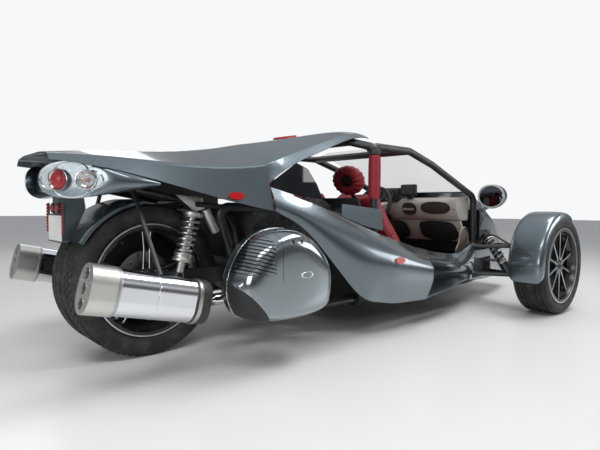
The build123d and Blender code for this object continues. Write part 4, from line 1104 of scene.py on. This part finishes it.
# %% Mapping a grid on to a form
def mapped(name, cuts, place):
    """A cube cut into a grid whose corners are moved to place(u, v, w), each from -1 to 1."""
    deselect()
    bpy.ops.mesh.primitive_cube_add(size=2)
    piece = bpy.context.object
    piece.name = name
    edit(piece)
    bpy.ops.mesh.subdivide(number_cuts=cuts)
    close()
    for corner in piece.data.vertices:
        corner.co = place(*corner.co)
    edit(piece)
    seal()
    return piece


def in_disc(u, v, square=3.0):
    """Moves a point of the square to a disc with fairly square shoulders."""
    size = max(abs(u), abs(v))
    if not size:
        return 0.0, 0.0
    reach = (abs(u / size) ** square + abs(v / size) ** square) ** (1 / square)
    return u / reach, v / reach


# %% Lamp pods, lamps and covers
bowl = ((1, -16), (12, -15), (26, -9), (34.5, -2), (35.5, 1), (37.5, 1), (37.5, -3), (28, -12), (13, -19), (1, -20))
dome_profile = ((0, 9), (8, 8.4), (16, 6.4), (24, 2.5), (29, -2), (29, -6), (24, -4), (12, 1), (0, 3))
for side, sign in SIDES:
    root, tip = Vector((-340, sign * 190, 748)), Vector((-50, sign * 322, 738))
    along, out = Vector((0.707, sign * 0.707, 0)), Vector((-0.707, sign * 0.707, 0))

    def pod_place(u, v, w, root=root, tip=tip, along=along, sign=sign):
        share = (w + 1) / 2
        across, rise = in_disc(u, v, 2.4)
        turn = along.lerp(Vector((0, sign, 0)), share).normalized()
        slim = (1 - share) ** 0.85
        spot = root.lerp(tip, share) + turn * across * (122 * slim + 6) + Vector((0, 0, rise * (64 * slim + 6)))
        return at(*spot)

    def cover_place(u, v, w, root=root, along=along, out=out):
        across, rise = in_disc(u, v, 2.4)
        bulge = 30 * (1 - across * across * 0.95) ** 0.5 * (1 - rise * rise * 0.95) ** 0.5 * (w + 1) / 2
        return at(*(root + along * across * 121 + Vector((0, 0, rise * 63)) + out * (bulge + 1)))

    pod = mapped(f"tail_pod_{side}", 11, pod_place)
    finish(pod, PAINT, "paint", smooth=50)
    cover = mapped(f"tail_cover_{side}", 9, cover_place)
    finish(cover, LENS, "glass", smooth=50)
    if side == "right":
        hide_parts("tail_lamp_pod")
        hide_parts("tail_lens")
    edge_run = [in_disc(cos(2 * pi * i / 40), sin(2 * pi * i / 40), 2.4) for i in range(40)]
    border = [root + along * across * 123 + Vector((0, 0, rise * 65)) for across, rise in edge_run]
    finish(hose(f"tail_rim_{side}", [at(*spot) for spot in border], 0.0034, 8, closed=True), CHROME, "chrome")
    for title, shift, scale, lens in (("red", -48, 1.12, RED_LAMP), ("clear", 62, 1.0, AMBER_LAMP)):
        spot = root + along * shift + out * 12
        facing = Vector((-0.707 + shift * 0.003, sign * (0.707 + shift * 0.002), 0))
        grown = tuple((radius * scale, height * scale) for radius, height in bowl)
        finish(turned(f"lamp_bowl_{title}_{side}", grown, at(*spot), facing, 40), CHROME, "chrome", edge=0.4)
        grown = tuple((radius * scale, height * scale) for radius, height in dome_profile)
        dome_piece = turned(f"lamp_dome_{title}_{side}", grown, at(*spot), facing, 20)
        finish(dome_piece, lens if title == "red" else CLEAR_LAMP, "red_lamp" if title == "red" else "glass", smooth=12)
        if title == "red" and side == "right":
            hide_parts("tail_lamps")
        if title == "clear":
            bulb = turned(f"lamp_bulb_{side}", ((0, 6), (6, 4), (8, 0), (8, -12), (0, -12)), at(*spot), facing, 20)
            finish(bulb, lens, "red_lamp")


# %% [markdown]
# ## Plate and its lamps
#
# The plate stays blank. Two black lamps sit above it, and a red strip of small lights stands on each side.

# %% Plate surroundings
def block(name, spot, size, material, slot, body="body", edge=1.5):
    """A box with softened edges, its size in millimetres."""
    deselect()
    bpy.ops.mesh.primitive_cube_add(size=1, location=spot)
    piece = bpy.context.object
    piece.name = name
    piece.scale = tuple(value / 1000 for value in size)
    bpy.ops.object.transform_apply(location=False, rotation=False, scale=True)
    edit(piece)
    bpy.ops.mesh.bevel(offset=min(size) * 0.0002, segments=1, affect="EDGES")
    close()
    return finish(piece, material, slot, body, edge=edge)


block("tail_bar", at(-362, 0, 748), (60, 214, 92), PAINT, "paint", edge=14)
block("plate_frame", at(-345, 0, 560), (5, 190, 114), BOOT, "black_tube", edge=2)
block("plate_bracket", at(-338, 0, 620), (10, 60, 60), BLACK_TUBE, "black_tube")
for side, sign in SIDES:
    cup = ((0, 6), (18, 6), (21, 2), (21, -20), (14, -24), (0, -24))
    finish(turned(f"plate_lamp_{side}", cup, at(-346, sign * 32, 640), (-1, 0, 0), 32), BOOT, "black_tube", edge=1)
    cover = ((0, 9), (14, 7.5), (16, 5), (0, 5))
    glass = turned(f"plate_lamp_glass_{side}", cover, at(-346, sign * 32, 640), (-1, 0, 0), 32)
    finish(glass, RED_LAMP, "red_lamp")
    block(f"light_strip_bed_{side}", at(-344, sign * 104, 600), (8, 16, 122), BOOT, "black_tube")
    deselect()
    bpy.ops.mesh.primitive_uv_sphere_add(segments=12, ring_count=8, radius=0.0052)
    spots = [at(-348.5, sign * 104, 548 + 13 * step) for step in range(9)]
    lights = copies(bpy.context.object, f"light_strip_{side}", spots)
    finish(lights, RED_LAMP, "red_lamp", smooth=60)

# %% [markdown]
# ## Mirrors and indicators
#
# The mirror's glass is a shallow dish in a pale ring.

# %% Mirror glass
PALE_RING = grained_plastic("pale_ring", (0.42, 0.43, 0.44), 0.35, 300)
DARK_MIRROR = mirror_metal("mirror_glass", (0.10, 0.11, 0.125), 0.03)


def mirror_oval(sign, half_width, half_height, count):
    """An oval on the mirror's face."""
    turns = [2 * pi * i / count for i in range(count)]
    return [at(2261, sign * MIRROR_Y + half_width * cos(turn), 728 + half_height * sin(turn)) for turn in turns]


for side, sign in SIDES:
    def shell_place(u, v, w, sign=sign):
        across, rise = in_disc(u, v, 2.2)
        share = (w + 1) / 2
        slim = (1 - share ** 2.2) ** 0.5 * 0.86 + 0.14 * (1 - share)
        y = sign * (MIRROR_Y - 14 * share) + 96 * across * slim
        return at(2262 + 165 * share, y, 728 + 10 * share + 82 * rise * slim)

    shell = mapped(f"mirror_shell_{side}", 9, shell_place)
    finish(shell, PAINT, "paint", smooth=50)
    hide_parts(f"mirror_{side}")
    oval = mirror_oval(sign, 84, 70, 48)
    glass = outline_face(f"mirror_glass_{side}", oval)
    edit(glass)
    pull((-0.0025, 0, 0), (1, 0.94, 0.94), at(2260, sign * MIRROR_Y, 728))
    seal()
    finish(glass, DARK_MIRROR, "glass")
    oval = mirror_oval(sign, 89, 75, 32)
    finish(hose(f"mirror_ring_{side}", oval, 0.0062, 12, closed=True), PALE_RING, "satin")
    run = [at(2340, sign * 490, 690), at(2352, sign * 440, 656), at(2364, sign * 388, 628)]
    arm = hose(f"mirror_arm_{side}", run, 0.017)
    finish(arm, PALE_RING, "satin", smooth=60)

# %% [markdown]
# ## Seats and pads
#
# A pad starts as a cube cut into a grid and mapped on to the seat's form: a share of the width, of the thickness and
# of the length gives each corner its place. It is remeshed evenly, swollen with Blender's cloth under pressure, and
# softened by one subdivision. The piping is laid over the finished surface afterwards, found by casting rays at it.

# %% Making a pad
def padded(piece, voxel, cap, pressure=4.0):
    """Swells a piece with cloth under pressure, but lets no corner move further than the cap."""
    rounding = piece.modifiers.new("round", "SUBSURF")
    rounding.levels = rounding.render_levels = 1
    apply_all(piece)
    even = piece.modifiers.new("even", "REMESH")
    even.mode, even.voxel_size, even.use_smooth_shade = "VOXEL", voxel, True
    apply_all(piece)
    rest = [corner.co.copy() for corner in piece.data.vertices]
    cloth = piece.modifiers.new("swell", "CLOTH")
    cloth.settings.use_pressure = True
    cloth.settings.uniform_pressure_force = pressure
    cloth.settings.effector_weights.gravity = 0
    cloth.collision_settings.use_self_collision = False
    cloth.point_cache.frame_start, cloth.point_cache.frame_end = 1, 20
    for step in range(1, 21):
        bpy.context.scene.frame_set(step)
    apply_all(piece)
    bpy.context.scene.frame_set(1)
    for corner, start in zip(piece.data.vertices, rest):
        moved = corner.co - start
        if moved.length > cap:
            corner.co = start + moved * (cap / moved.length)
    last = piece.modifiers.new("soft", "SUBSURF")
    last.levels = last.render_levels = 1
    apply_all(piece)
    return piece


def piping(name, pad, points, way, lift=0.001, radius=0.0028):
    """A welt laid on a pad: each point is cast along way until it meets the pad."""
    laid = []
    for point in points:
        hit, spot = pad.ray_cast(point - way * 0.3, way)[:2]
        if hit:
            laid.append(spot - way * lift)
    return hose(name, laid, radius, 8)


def smoothstep(value, low, high):
    share = min(max((value - low) / (high - low), 0), 1)
    return share * share * (3 - 2 * share)


# %% Seat backs, cushions and headrests
LEATHER_DARK = leather("leather_dark", (0.14, 0.008, 0.012))
BLACK_PAD = leather("black_pad", (0.018, 0.018, 0.02))
for side, sign in SIDES:
    def back_place(u, v, w, sign=sign):
        share = (w + 1) / 2
        middle = Vector((1478 - 262 * share - 36 * sin(pi * share), 0, 330 + 392 * share))
        front = Vector((0.86, 0, 0.5))
        width = 178 - 34 * share ** 3
        bolster = 40 * smoothstep(abs(v), 0.5, 0.85) * (1 - 0.45 * share)
        depth = 38 - 14 * abs(v) ** 4 + (bolster if u > 0 else 0)
        spot = middle + front * u * depth
        return at(spot.x, sign * SEAT_Y + v * width, spot.z)

    def cushion_place(u, v, w, sign=sign):
        share = (w + 1) / 2
        along = 1452 + 420 * share
        bolster = 30 * smoothstep(abs(v), 0.5, 0.85) * (1 - 0.5 * share)
        level = 268 + 44 * share + 22 * sin(pi * share) * 0.3
        height = level + u * (34 - 12 * abs(v) ** 4) + (bolster if u > 0 else 0)
        return at(along, sign * SEAT_Y + v * (178 - 8 * share), height)

    back = padded(mapped(f"seat_back_{side}", 11, back_place), 0.007, 0.012)
    finish(back, LEATHER, "leather", smooth=60)
    base = padded(mapped(f"seat_cushion_{side}", 11, cushion_place), 0.007, 0.012)
    finish(base, LEATHER, "leather", smooth=60)
    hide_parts(f"seat_{side}")
    forward = Vector((-0.86, 0, -0.5)).normalized()
    for strip, v in (("outer", 0.54), ("inner", -0.54)):
        points = [back_place(1.0, v, w) for w in (-0.8 + 1.65 * i / 12 for i in range(13))]
        finish(piping(f"back_piping_{strip}_{side}", back, points, forward), LEATHER_DARK, "leather")
        points = [cushion_place(1.0, v, w) for w in (-0.6 + 1.5 * i / 12 for i in range(13))]
        finish(piping(f"cushion_piping_{strip}_{side}", base, points, Vector((0, 0, -1))), LEATHER_DARK, "leather")
    for row, w in enumerate((-0.35, 0.05, 0.45)):
        points = [back_place(1.0, v, w) for v in (-0.5 + i / 10 for i in range(11))]
        finish(piping(f"back_channel_{row}_{side}", back, points, forward, 0.0), LEATHER_DARK, "leather")
    centre = at(1146, sign * SEAT_Y, 800)
    across, rise = Vector((0, 1, 0)), Vector((-0.287, 0, 0.958))
    front = Vector((0.958, 0, 0.287))

    deselect()
    bpy.ops.mesh.primitive_torus_add(major_segments=72, minor_segments=16, major_radius=0.074, minor_radius=0.036)
    ring = bpy.context.object
    ring.name = f"headrest_ring_{side}"
    for corner in ring.data.vertices:
        turn = atan2(corner.co.y, corner.co.x)
        gather = 1 + 0.09 * sin(turn * 17)
        out = Vector((cos(turn), sin(turn)))
        tube = Vector((corner.co.x - 0.074 * out.x, corner.co.y - 0.074 * out.y, corner.co.z)) * gather
        spot = Vector((0.074 * out.x, 0.074 * out.y, 0)) + tube
        corner.co = centre + across * spot.x * 1.02 + rise * spot.y * 0.78 + front * (spot.z + 0.012)
    edit(ring)
    seal()
    soft = ring.modifiers.new("soft", "SUBSURF")
    soft.levels = soft.render_levels = 1
    apply_all(ring)
    finish(ring, LEATHER, "leather", smooth=60)
    middle = turned(f"headrest_oval_{side}", ((0, 10), (30, 8), (50, 2), (56, -8), (0, -8)), (0, 0, 0), (0, 0, 1), 40)
    for corner in middle.data.vertices:
        spot = corner.co.copy()
        corner.co = centre + across * spot.x + rise * spot.y * 0.74 + front * (spot.z + 0.004)
    finish(middle, BLACK_PAD, "leather", smooth=60)
    run = [at(1215, sign * SEAT_Y, 700), at(1180, sign * SEAT_Y, 745), at(1146, sign * SEAT_Y, 790)]
    post = hose(f"headrest_post_{side}", run, 0.012)
    finish(post, BLACK_TUBE, "black_tube")

    def sleeve_place(u, v, w, sign=sign):
        turn = Vector((u, v))
        size = max(abs(u), abs(v))
        round_off = turn.normalized() * size if turn.length else turn
        radius = 33 * (1 - 0.10 * abs(w) ** 6)
        return at(1106 + round_off.x * radius, sign * 450 + round_off.y * radius, 812 + 118 * w)

    sleeve = padded(mapped(f"hoop_pad_{side}", 9, sleeve_place), 0.006, 0.006)
    finish(sleeve, LEATHER, "leather", smooth=60)
    if side == "right":
        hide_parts("hoop_pads")
    points = [at(1112, sign * 500, 700 + 22 * step) for step in range(11)]
    finish(piping(f"hoop_pad_seam_{side}", sleeve, points, Vector((0, -sign, 0))), LEATHER_DARK, "leather")
    collar = ((21.2, -14), (27, -14), (29, -11), (29, 11), (27, 14), (21.2, 14))
    finish(turned(f"hoop_collar_{side}", collar, at(1106, sign * 452, 944), (0, 0, 1), 32), BOOT, "black_tube")

# %% [markdown]
# ## Cockpit
#
# The pale dash is one soft-edged bar with a rounded recess for the passenger, a hood over the instruments and a small
# screen in the middle. Its pale warm tone is a grey dash with a painted reflection of the pale wall. The steering
# wheel is a padded ring with a boss cut like a kite.

# %% Dash, screen and hood
def bar(name, points, low_y, high_y, material, slot, edge=8, body="body"):
    """A side outline pulled across the car."""
    piece = slab(name, [at(x, low_y, z) for x, z in points], (0, (high_y - low_y) / 1000, 0))
    return finish(piece, material, slot, body, edge=edge)


DASH_FORM = ((2048, 662), (2054, 690), (2090, 714), (2206, 722), (2206, 562), (2094, 562), (2060, 610))
dash = bar("dash_bar", DASH_FORM, -383, 383, DASH_WITH_PAINTED_REFLECTION, "dash", 9)
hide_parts("dashboard")
HOOD_FORM = ((2030, 694), (2026, 776), (2042, 792), (2090, 796), (2205, 726), (2120, 690))
bar("instrument_hood", HOOD_FORM, 97, 327, DASH, "dash", 10)
column_profile = ((11.1, 70), (24, 70), (26, 80), (26, 250), (24, 260), (11.1, 260))
column = turned("steering_column", column_profile, at(1900, 212, 655), (0.927, 0, -0.375), 32)
finish(column, DASH, "dash", edge=1)


def dash_panel(name, middle_y, middle_z, half_width, half_height, depth, material, slot, rounds=3):
    """A rounded panel that stands on the dash's leaning face."""
    corners = [(a * half_width, b * half_height) for a, b in ((-1, -1), (1, -1), (1, 1), (-1, 1))]
    loop = rounded([Vector((across, rise, 0)) for across, rise in corners], rounds)
    spots = [at(2054 - 0.22 * (middle_z + p.y - 640), middle_y + p.x, middle_z + p.y) for p in loop]
    piece = outline_face(name, spots)
    edit(piece)
    pull((-depth / 1000, 0, 0), (1, 0.96, 0.94), at(2050, middle_y, middle_z))
    seal()
    return finish(piece, material, slot, edge=0.8)


dash_panel("glovebox_surround", -216, 648, 118, 44, 9, DASH, "dash")
dash_panel("glovebox_door", -216, 648, 100, 30, 13, BOOT, "dash")
dash_panel("switch_panel", 0, 640, 62, 46, 9, DASH, "dash")
for step in range(4):
    knob = ((0, 12), (8, 12), (9, 10), (9, 0), (0, 0))
    knob_spot = at(2046, -36 + 24 * step, 636)
    finish(turned(f"dash_knob_{step}", knob, knob_spot, (-1, 0, -0.1), 24), SATIN, "satin", edge=0.4)
for name, y in (("right", -362), ("left", 362)):
    screw = ((0, 3), (5, 3), (7, 0), (7, -8), (0, -8))
    finish(turned(f"dash_screw_{name}", screw, at(2050, y, 640), (-1, 0, -0.2), 20), STEEL, "steel")
SCREEN_GREY = lamp_plastic("screen_grey", (0.10, 0.11, 0.115))
block("screen_case", at(2070, 20, 776), (34, 132, 84), DASH, "dash", edge=5)
block("screen_face", at(2051.5, 20, 778), (3, 108, 60), SCREEN_GREY, "dash", edge=1)
block("screen_foot", at(2092, 20, 732), (30, 50, 40), DASH, "dash", edge=3)
for name, y, z, radius in (("speed", 172, 742, 38), ("engine_speed", 252, 742, 38)):
    gauge = ((0, 1), (radius - 3, 1), (radius - 2, 7), (radius + 2, 7), (radius + 2, -3), (0, -3))
    finish(turned(f"gauge_{name}", gauge, at(2030, y, z), (-1, 0, 0.1), 40), STEEL, "steel")
    face_profile = ((0, 2), (radius - 4, 2), (radius - 4, 0), (0, 0))
    dial = turned(f"dial_{name}", face_profile, at(2029.5, y, z), (-1, 0, 0.1), 40)
    finish(dial, BOOT, "dash")
    pointer = ((2024, z), (2025.5, z), (2028, z + 26), (2026.5, z + 26))
    bar(f"needle_{name}", pointer, y - 1.5, y + 1.5, RED_LAMP, "red_lamp", 0.3)

# %% Steering wheel
TILT = radians(22)
AXIS = Vector((-cos(TILT), 0, sin(TILT)))
RISE = Vector((sin(TILT), 0, cos(TILT)))
HUB = at(1900, 212, 655)
turns = [2 * pi * i / 24 for i in range(24)]
circle = [HUB + Vector((0, 0.145 * cos(turn), 0)) + RISE * 0.145 * sin(turn) for turn in turns]
grip = hose("wheel_grip", circle, 0.0155, 16, closed=True)
finish(grip, BLACK_PAD, "leather", "steering_wheel", smooth=60)
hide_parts("steering_wheel")
spoke = ((40, -17), (134, -11), (138, -8), (138, 8), (134, 11), (40, 17))
kite = ((-62, 0), (-20, 44), (20, 44), (62, 0), (24, -50), (-24, -50))


def on_wheel(name, outline, low, high, material, slot, turn=0.0, edge=1.5):
    """An outline that lies in the wheel's plane, pulled towards the driver."""
    spots = []
    for across, rise in outline:
        y, z = across * cos(turn) - rise * sin(turn), across * sin(turn) + rise * cos(turn)
        spots.append(HUB + Vector((0, y / 1000, 0)) + RISE * z / 1000 + AXIS * low / 1000)
    piece = slab(name, spots, AXIS * (high - low) / 1000)
    return finish(piece, material, slot, "steering_wheel", edge=edge)


for index, turn in enumerate((0.2, pi - 0.2, -pi / 2)):
    on_wheel(f"wheel_spoke_{index}", spoke, -3, 3, SATIN, "satin", turn)
on_wheel("wheel_boss_edge", [(x * 1.07, y * 1.07) for x, y in kite], 2, 16, STEEL, "steel")
on_wheel("wheel_boss", kite, 2, 21, BOOT, "dash", edge=5)
for name, y in (("high", 34), ("low", -36)):
    slot = ((-14, y - 3), (14, y - 3), (14, y + 3), (-14, y + 3))
    on_wheel(f"wheel_slot_{name}", slot, 20, 22.2, STEEL, "steel", edge=0.6)
badge = turned("wheel_centre", ((0, 27), (15, 25), (17, 22), (17, 18), (0, 18)), HUB, AXIS, 32)
finish(badge, WHITE_PLATE, "plate", "steering_wheel")
shaft = turned("wheel_shaft", ((0, -168), (10.9, -168), (10.9, 3), (0, 3)), HUB, AXIS, 24)
finish(shaft, STEEL, "steel", "steering_wheel")

# %% [markdown]
# ## Side panels
#
# The panel is one skin whose section changes from a narrow belt at the tail to a deep scoop with an open mouth. Its
# stations are joined evenly, which keeps the lower edge straight, and the mouth gets a rolled lip.

# %% Skins through stations
def eased(run, rounds=2):
    """An open run with its inner corners cut, the ends kept."""
    spots = [Vector(point) for point in run]
    for _ in range(rounds):
        cut = [spots[0]]
        for near, far in zip(spots, spots[1:]):
            cut += [near.lerp(far, 0.22), near.lerp(far, 0.78)]
        spots = cut + [spots[-1]]
    return spots


def run_at(stations, x):
    """The section at x, between its stations."""
    for (back, near), (front, far) in zip(stations, stations[1:]):
        if x <= front:
            share = min(max((x - back) / (front - back), 0), 1)
            return [Vector(a).lerp(Vector(b), share) for a, b in zip(near, far)]
    return [Vector(point) for point in stations[-1][1]]


def skin(name, stations, rows, wall, blur, material, slot):
    """A skin of even rows through the stations, each row averaged with its neighbours so that no kink stays."""
    low, high = stations[0][0], stations[-1][0]
    lines = []
    for row in range(rows + 1):
        x = low + (high - low) * row / rows
        reach = min(blur, x - low, high - x)
        parts = [run_at(stations, x + step * reach) for step in (-1, -0.5, 0, 0.5, 1)]
        mean = [sum(points, Vector((0, 0))) / 5 for points in zip(*parts)]
        lines.append([at(x, y, z) for y, z in eased(mean)])
    deselect()
    bpy.ops.mesh.primitive_grid_add(x_subdivisions=rows, y_subdivisions=len(lines[0]) - 1, size=2)
    piece = bpy.context.object
    piece.name = name
    for corner in piece.data.vertices:
        row = round((corner.co.x + 1) / 2 * rows)
        column = round((corner.co.y + 1) / 2 * (len(lines[0]) - 1))
        corner.co = lines[row][column]
    return finish(piece, material, slot, smooth=50, wall=wall)


PANEL = (
    (425.6, ((-418, 738), (-456, 672), (-459, 650), (-454, 632))),
    (560, ((-440, 692), (-495, 628), (-502, 604), (-497, 566))),
    (700, ((-464, 650), (-540, 560), (-556, 480), (-540, 398))),
    (860, ((-486, 588), (-580, 498), (-612, 380), (-584, 204))),
    (1100, ((-498, 505), (-628, 424), (-650, 320), (-592, 158))),
    (1375, ((-498, 432), (-641, 352), (-650, 262), (-602, 150))),
)
SILL = (
    (1376, ((-498, 430), (-639, 350), (-482, 326), (-482, 206), (-600, 152))),
    (1640, ((-492, 378), (-606, 306), (-472, 290), (-470, 212), (-590, 176))),
    (1910, ((-478, 352), (-540, 276), (-468, 258), (-466, 218), (-536, 196))),
    (2129.4, ((-462, 420), (-474, 330), (-464, 258), (-460, 212), (-454, 168))),
)
for title, stations, rows in (("side_panel", PANEL, 44), ("sill_panel", SILL, 36)):
    right = skin(f"{title}_skin_right", stations, rows, 4, 60, PAINT, "paint")
    left = mirrored(right, f"{title}_skin_left")
    finish(left, PAINT, "paint", smooth=50)
    for side, piece in (("right", right), ("left", left)):
        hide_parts(f"{title}_{side}")
for side, sign in SIDES:
    lip = [at(1373, -sign * y, z) for y, z in eased(PANEL[-1][1])[1:]]
    finish(hose(f"scoop_lip_{side}", lip, 0.0045, 12), PAINT, "paint", smooth=60)

# %% [markdown]
# ## Tub and tail liner
#
# Behind the seats the tub stops at shoulder height, so the headrests stand free. A dark liner closes the tail from
# below and hides the inside of its skin.

# %% Lowered bulkhead and liner
tub = nodes["cockpit_tub"].copy()
tub.data = nodes["cockpit_tub"].data.copy()
tub.name = "tub_shell"
bpy.context.collection.objects.link(tub)
merge(tub)
edit(tub)
bpy.ops.mesh.bisect(plane_co=(0, 0, 0.70), plane_no=(0, 0, 1), clear_outer=True, use_fill=True)
close()
finish(tub, TUB, "tub", smooth=30)
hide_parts("cockpit_tub")


def underside(x, y, start=0.5):
    """The height at which a ray going up from start meets the tail's skin."""
    spot = at(x, y, start * 1000)
    hit, met = nodes["rear_body"].ray_cast(spot, Vector((0, 0, 1)))[:2]
    return met.z if hit else None


LINER = (-150, 410, -240, 240)
LINER_GAP, SKIN_ELSEWHERE = 0.012, 0.75
deselect()
bpy.ops.mesh.primitive_grid_add(x_subdivisions=26, y_subdivisions=20, size=2)
liner = bpy.context.object
liner.name = "tail_liner"
for corner in liner.data.vertices:
    x = LINER[0] + (LINER[1] - LINER[0]) * (corner.co.x + 1) / 2
    y = LINER[2] + (LINER[3] - LINER[2]) * (corner.co.y + 1) / 2
    met = underside(x, y)
    spot = at(x, y, 0)
    corner.co = (spot.x, spot.y, (met if met else SKIN_ELSEWHERE) - LINER_GAP)
finish(liner, BOOT, "black_tube", smooth=50, wall=3)
KEEL = [(x, underside(x, 0) * 1000 - 16) for x in range(40, 421, 20) if underside(x, 0)]
KEEL += [(420, 560), (330, 600), (200, 668), (40, 690)]
keel = slab("tail_keel", [at(x, 0, z) for x, z in KEEL], (0, 0.005, 0))
finish(keel, BOOT, "black_tube")

# %% [markdown]
# ## Front fenders
#
# A fender is a band of skin bent round the wheel. Its section is crowned and turned down at both edges, and its ends
# are rounded, so the grid narrows towards them.

# %% Crowned fenders
FENDER_FROM, FENDER_TO, FENDER_Y = radians(60), radians(195), 879
for side, sign in SIDES:
    deselect()
    bpy.ops.mesh.primitive_grid_add(x_subdivisions=48, y_subdivisions=18, size=2)
    fender = bpy.context.object
    fender.name = f"front_fender_skin_{side}"
    for corner in fender.data.vertices:
        u, v = corner.co.x, corner.co.y
        turn = FENDER_FROM + (FENDER_TO - FENDER_FROM) * (u + 1) / 2
        narrow = 0.80 + 0.20 * (1 - abs(u) ** 12) ** 0.5
        bent = sin(v * pi / 2 * 0.98)
        reach = 324 + 7 * (1 - v * v) - 40 * abs(v) ** 7
        y = sign * (FENDER_Y + 105 * bent * narrow)
        corner.co = at(WHEELBASE + reach * cos(turn), y, FRONT_Z + reach * sin(turn))
    edit(fender)
    seal()
    finish(fender, PAINT, "paint", f"upright_{side}", smooth=50, wall=3)
    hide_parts(f"front_fender_{side}")

# %% [markdown]
# ## Front suspension details
#
# A spring stands over each damper, the arms end in bright ball joints, and a brake hose runs to the caliper.

# %% Springs, joints and hoses
for side, sign in SIDES:
    foot, head = at(2286, sign * 640, 226), at(2286, sign * 478, 462)
    way = (head - foot).normalized()
    finish(coil(f"front_spring_{side}", foot + way * 0.07, head - way * 0.03, 0.031, 0.0052, 6), STEEL, "steel")
    tube = ((0, 0), (15, 0), (15, 64), (36, 66), (36, 72), (19, 76), (19, 150))
    tube += ((11, 154), (11, 250), (36, 252), (36, 260), (0, 262))
    finish(turned(f"front_damper_{side}", tube, foot, way, 32), SATIN, "satin", edge=0.8)
    joint = ((0, 17), (9, 17), (13, 12), (14, 4), (10, -2), (14, -8), (14, -16), (0, -16))
    ball = turned("ball_joint", joint, (0, 0, 0), (0, 0, 1), 20)
    spots = [at(2286, sign * 728, 214), at(2286, sign * 728, 402), at(2402, sign * 730, 292)]
    finish(copies(ball, f"ball_joints_{side}", spots), STEEL, "steel")
    line = [at(2230, sign * 452, 420), at(2196, sign * 560, 470), at(2220, sign * 650, 425), at(2284, sign * 736, 372)]
    finish(hose(f"brake_hose_{side}", line, 0.006, 12), BOOT, "black_tube")
    nut = turned("root_bolt", ((0, 8), (7, 8), (8, 6), (8, 0), (14, 0), (14, -3), (0, -3)), (0, 0, 0), (0, sign, 0), 6)
    spots = [at(x, sign * (452 if x > 2200 else 456), z) for x in (2150, 2420) for z in (214, 400)]
    finish(copies(nut, f"arm_bolts_{side}", spots), STEEL, "steel", smooth=20)
    block(f"caliper_{side}", at(2246, sign * 846, 384), (74, 40, 46), SATIN, "satin", f"upright_{side}", edge=6)

# %% [markdown]
# ## Firewalls and the footwell
#
# Dark panels close what would otherwise be seen through: ahead of the pedals, and between engine and rear wheel. A
# flat black arch on each side of the lower dash is painted shade for the dark footwell behind the leg opening.

# %% Panels, arch and kick plate
block("nose_firewall", at(2500, 0, 470), (5, 620, 330), TUB, "tub", edge=1)
block("engine_firewall", at(436, 0, 520), (5, 560, 250), BOOT, "black_tube", edge=1)
dash_low = ((2100, 560), (2118, 560), (2190, 420), (2176, 412))
# The lower dash carries the same painted reflection of the pale wall.
bar("dash_lower", dash_low, -383, 383, DASH_WITH_PAINTED_REFLECTION, "dash", 4)
# Painted shade: each arch is a flat black sheet standing in for the shaded footwell seen through the leg opening.
for side, sign in SIDES:
    arch_run = ((-150, -95), (150, -95), (150, 60), (90, 88), (-90, 88), (-150, 60))
    arch = rounded([Vector((x, z, 0)) for x, z in arch_run], 3)
    spots = [at(2118 - (p.y - 20) * 0.52, sign * 200 + p.x, 486 + p.y * 0.8) for p in arch]
    well = slab(f"footwell_{side}", spots, (-0.006, 0, 0))
    finish(well, TUB, "tub", edge=1)
KICK_BROWN = grained_plastic("kick_brown", (0.075, 0.055, 0.045), 0.4, 500)
for side, sign in SIDES:
    run = [(2000, 350), (2120, 372), (2150, 470), (2090, 520), (2030, 420)]
    plate = slab(f"kick_plate_{side}", [at(x, sign * 417, z) for x, z in run], (0, -sign * 0.004, 0))
    finish(plate, KICK_BROWN, "dash", edge=1)
    trim = [at(x, sign * 415, z) for x, z in run]
    finish(hose(f"kick_trim_{side}", trim, 0.003, 8, closed=True), SATIN, "satin")

# %% [markdown]
# ## Engine bay
#
# Hoses, a frame plate and bolts fill the space between the rails, the rear wheel and the cases.

# %% Hoses, plate and bolts
RUNS = (
    (8, (330, -150, 600), (380, -190, 520), (420, -230, 430), (470, -240, 360)),
    (11, (300, -190, 640), (350, -230, 560), (360, -260, 470), (420, -250, 380)),
    (6, (200, -170, 670), (260, -210, 620), (300, -250, 560), (330, -260, 480)),
    (5, (160, -150, 700), (230, -160, 650), (310, -150, 630), (400, -170, 600)),
    (9, (420, 160, 600), (380, 220, 520), (360, 250, 430), (430, 240, 350)),
    (7, (520, -246, 300), (600, -262, 330), (700, -262, 400), (800, -246, 430)),
)
for index, (radius, *spots) in enumerate(RUNS):
    finish(hose(f"engine_hose_{index}", [at(*spot) for spot in spots], radius / 1000, 12), BOOT, "black_tube")
for side, sign in SIDES:
    plate_run = ((60, 700), (190, 690), (200, 640), (150, 628))
    plate = slab(f"frame_plate_{side}", [at(x, sign * 236, z) for x, z in plate_run], (0, sign * 0.004, 0))
    finish(plate, SATIN, "satin", edge=0.8)
    bolt = turned("cover_bolt", ((0, 7), (6, 7), (7, 5), (7, -2), (0, -2)), (0, 0, 0), (0, sign, 0), 6)
    spots = [at(560 + 75 * cos(t), sign * 240, 300 + 75 * sin(t)) for t in (2 * pi * i / 8 for i in range(8))]
    finish(copies(bolt, f"cover_bolts_{side}", spots), STEEL, "steel", smooth=20)
    pivot = ((0, 14), (13, 14), (16, 10), (16, 0), (24, -2), (24, -8), (0, -8))
    finish(turned(f"pivot_bolt_{side}", pivot, at(380, sign * 236, 340), (0, sign, 0), 6), STEEL, "steel", smooth=20)
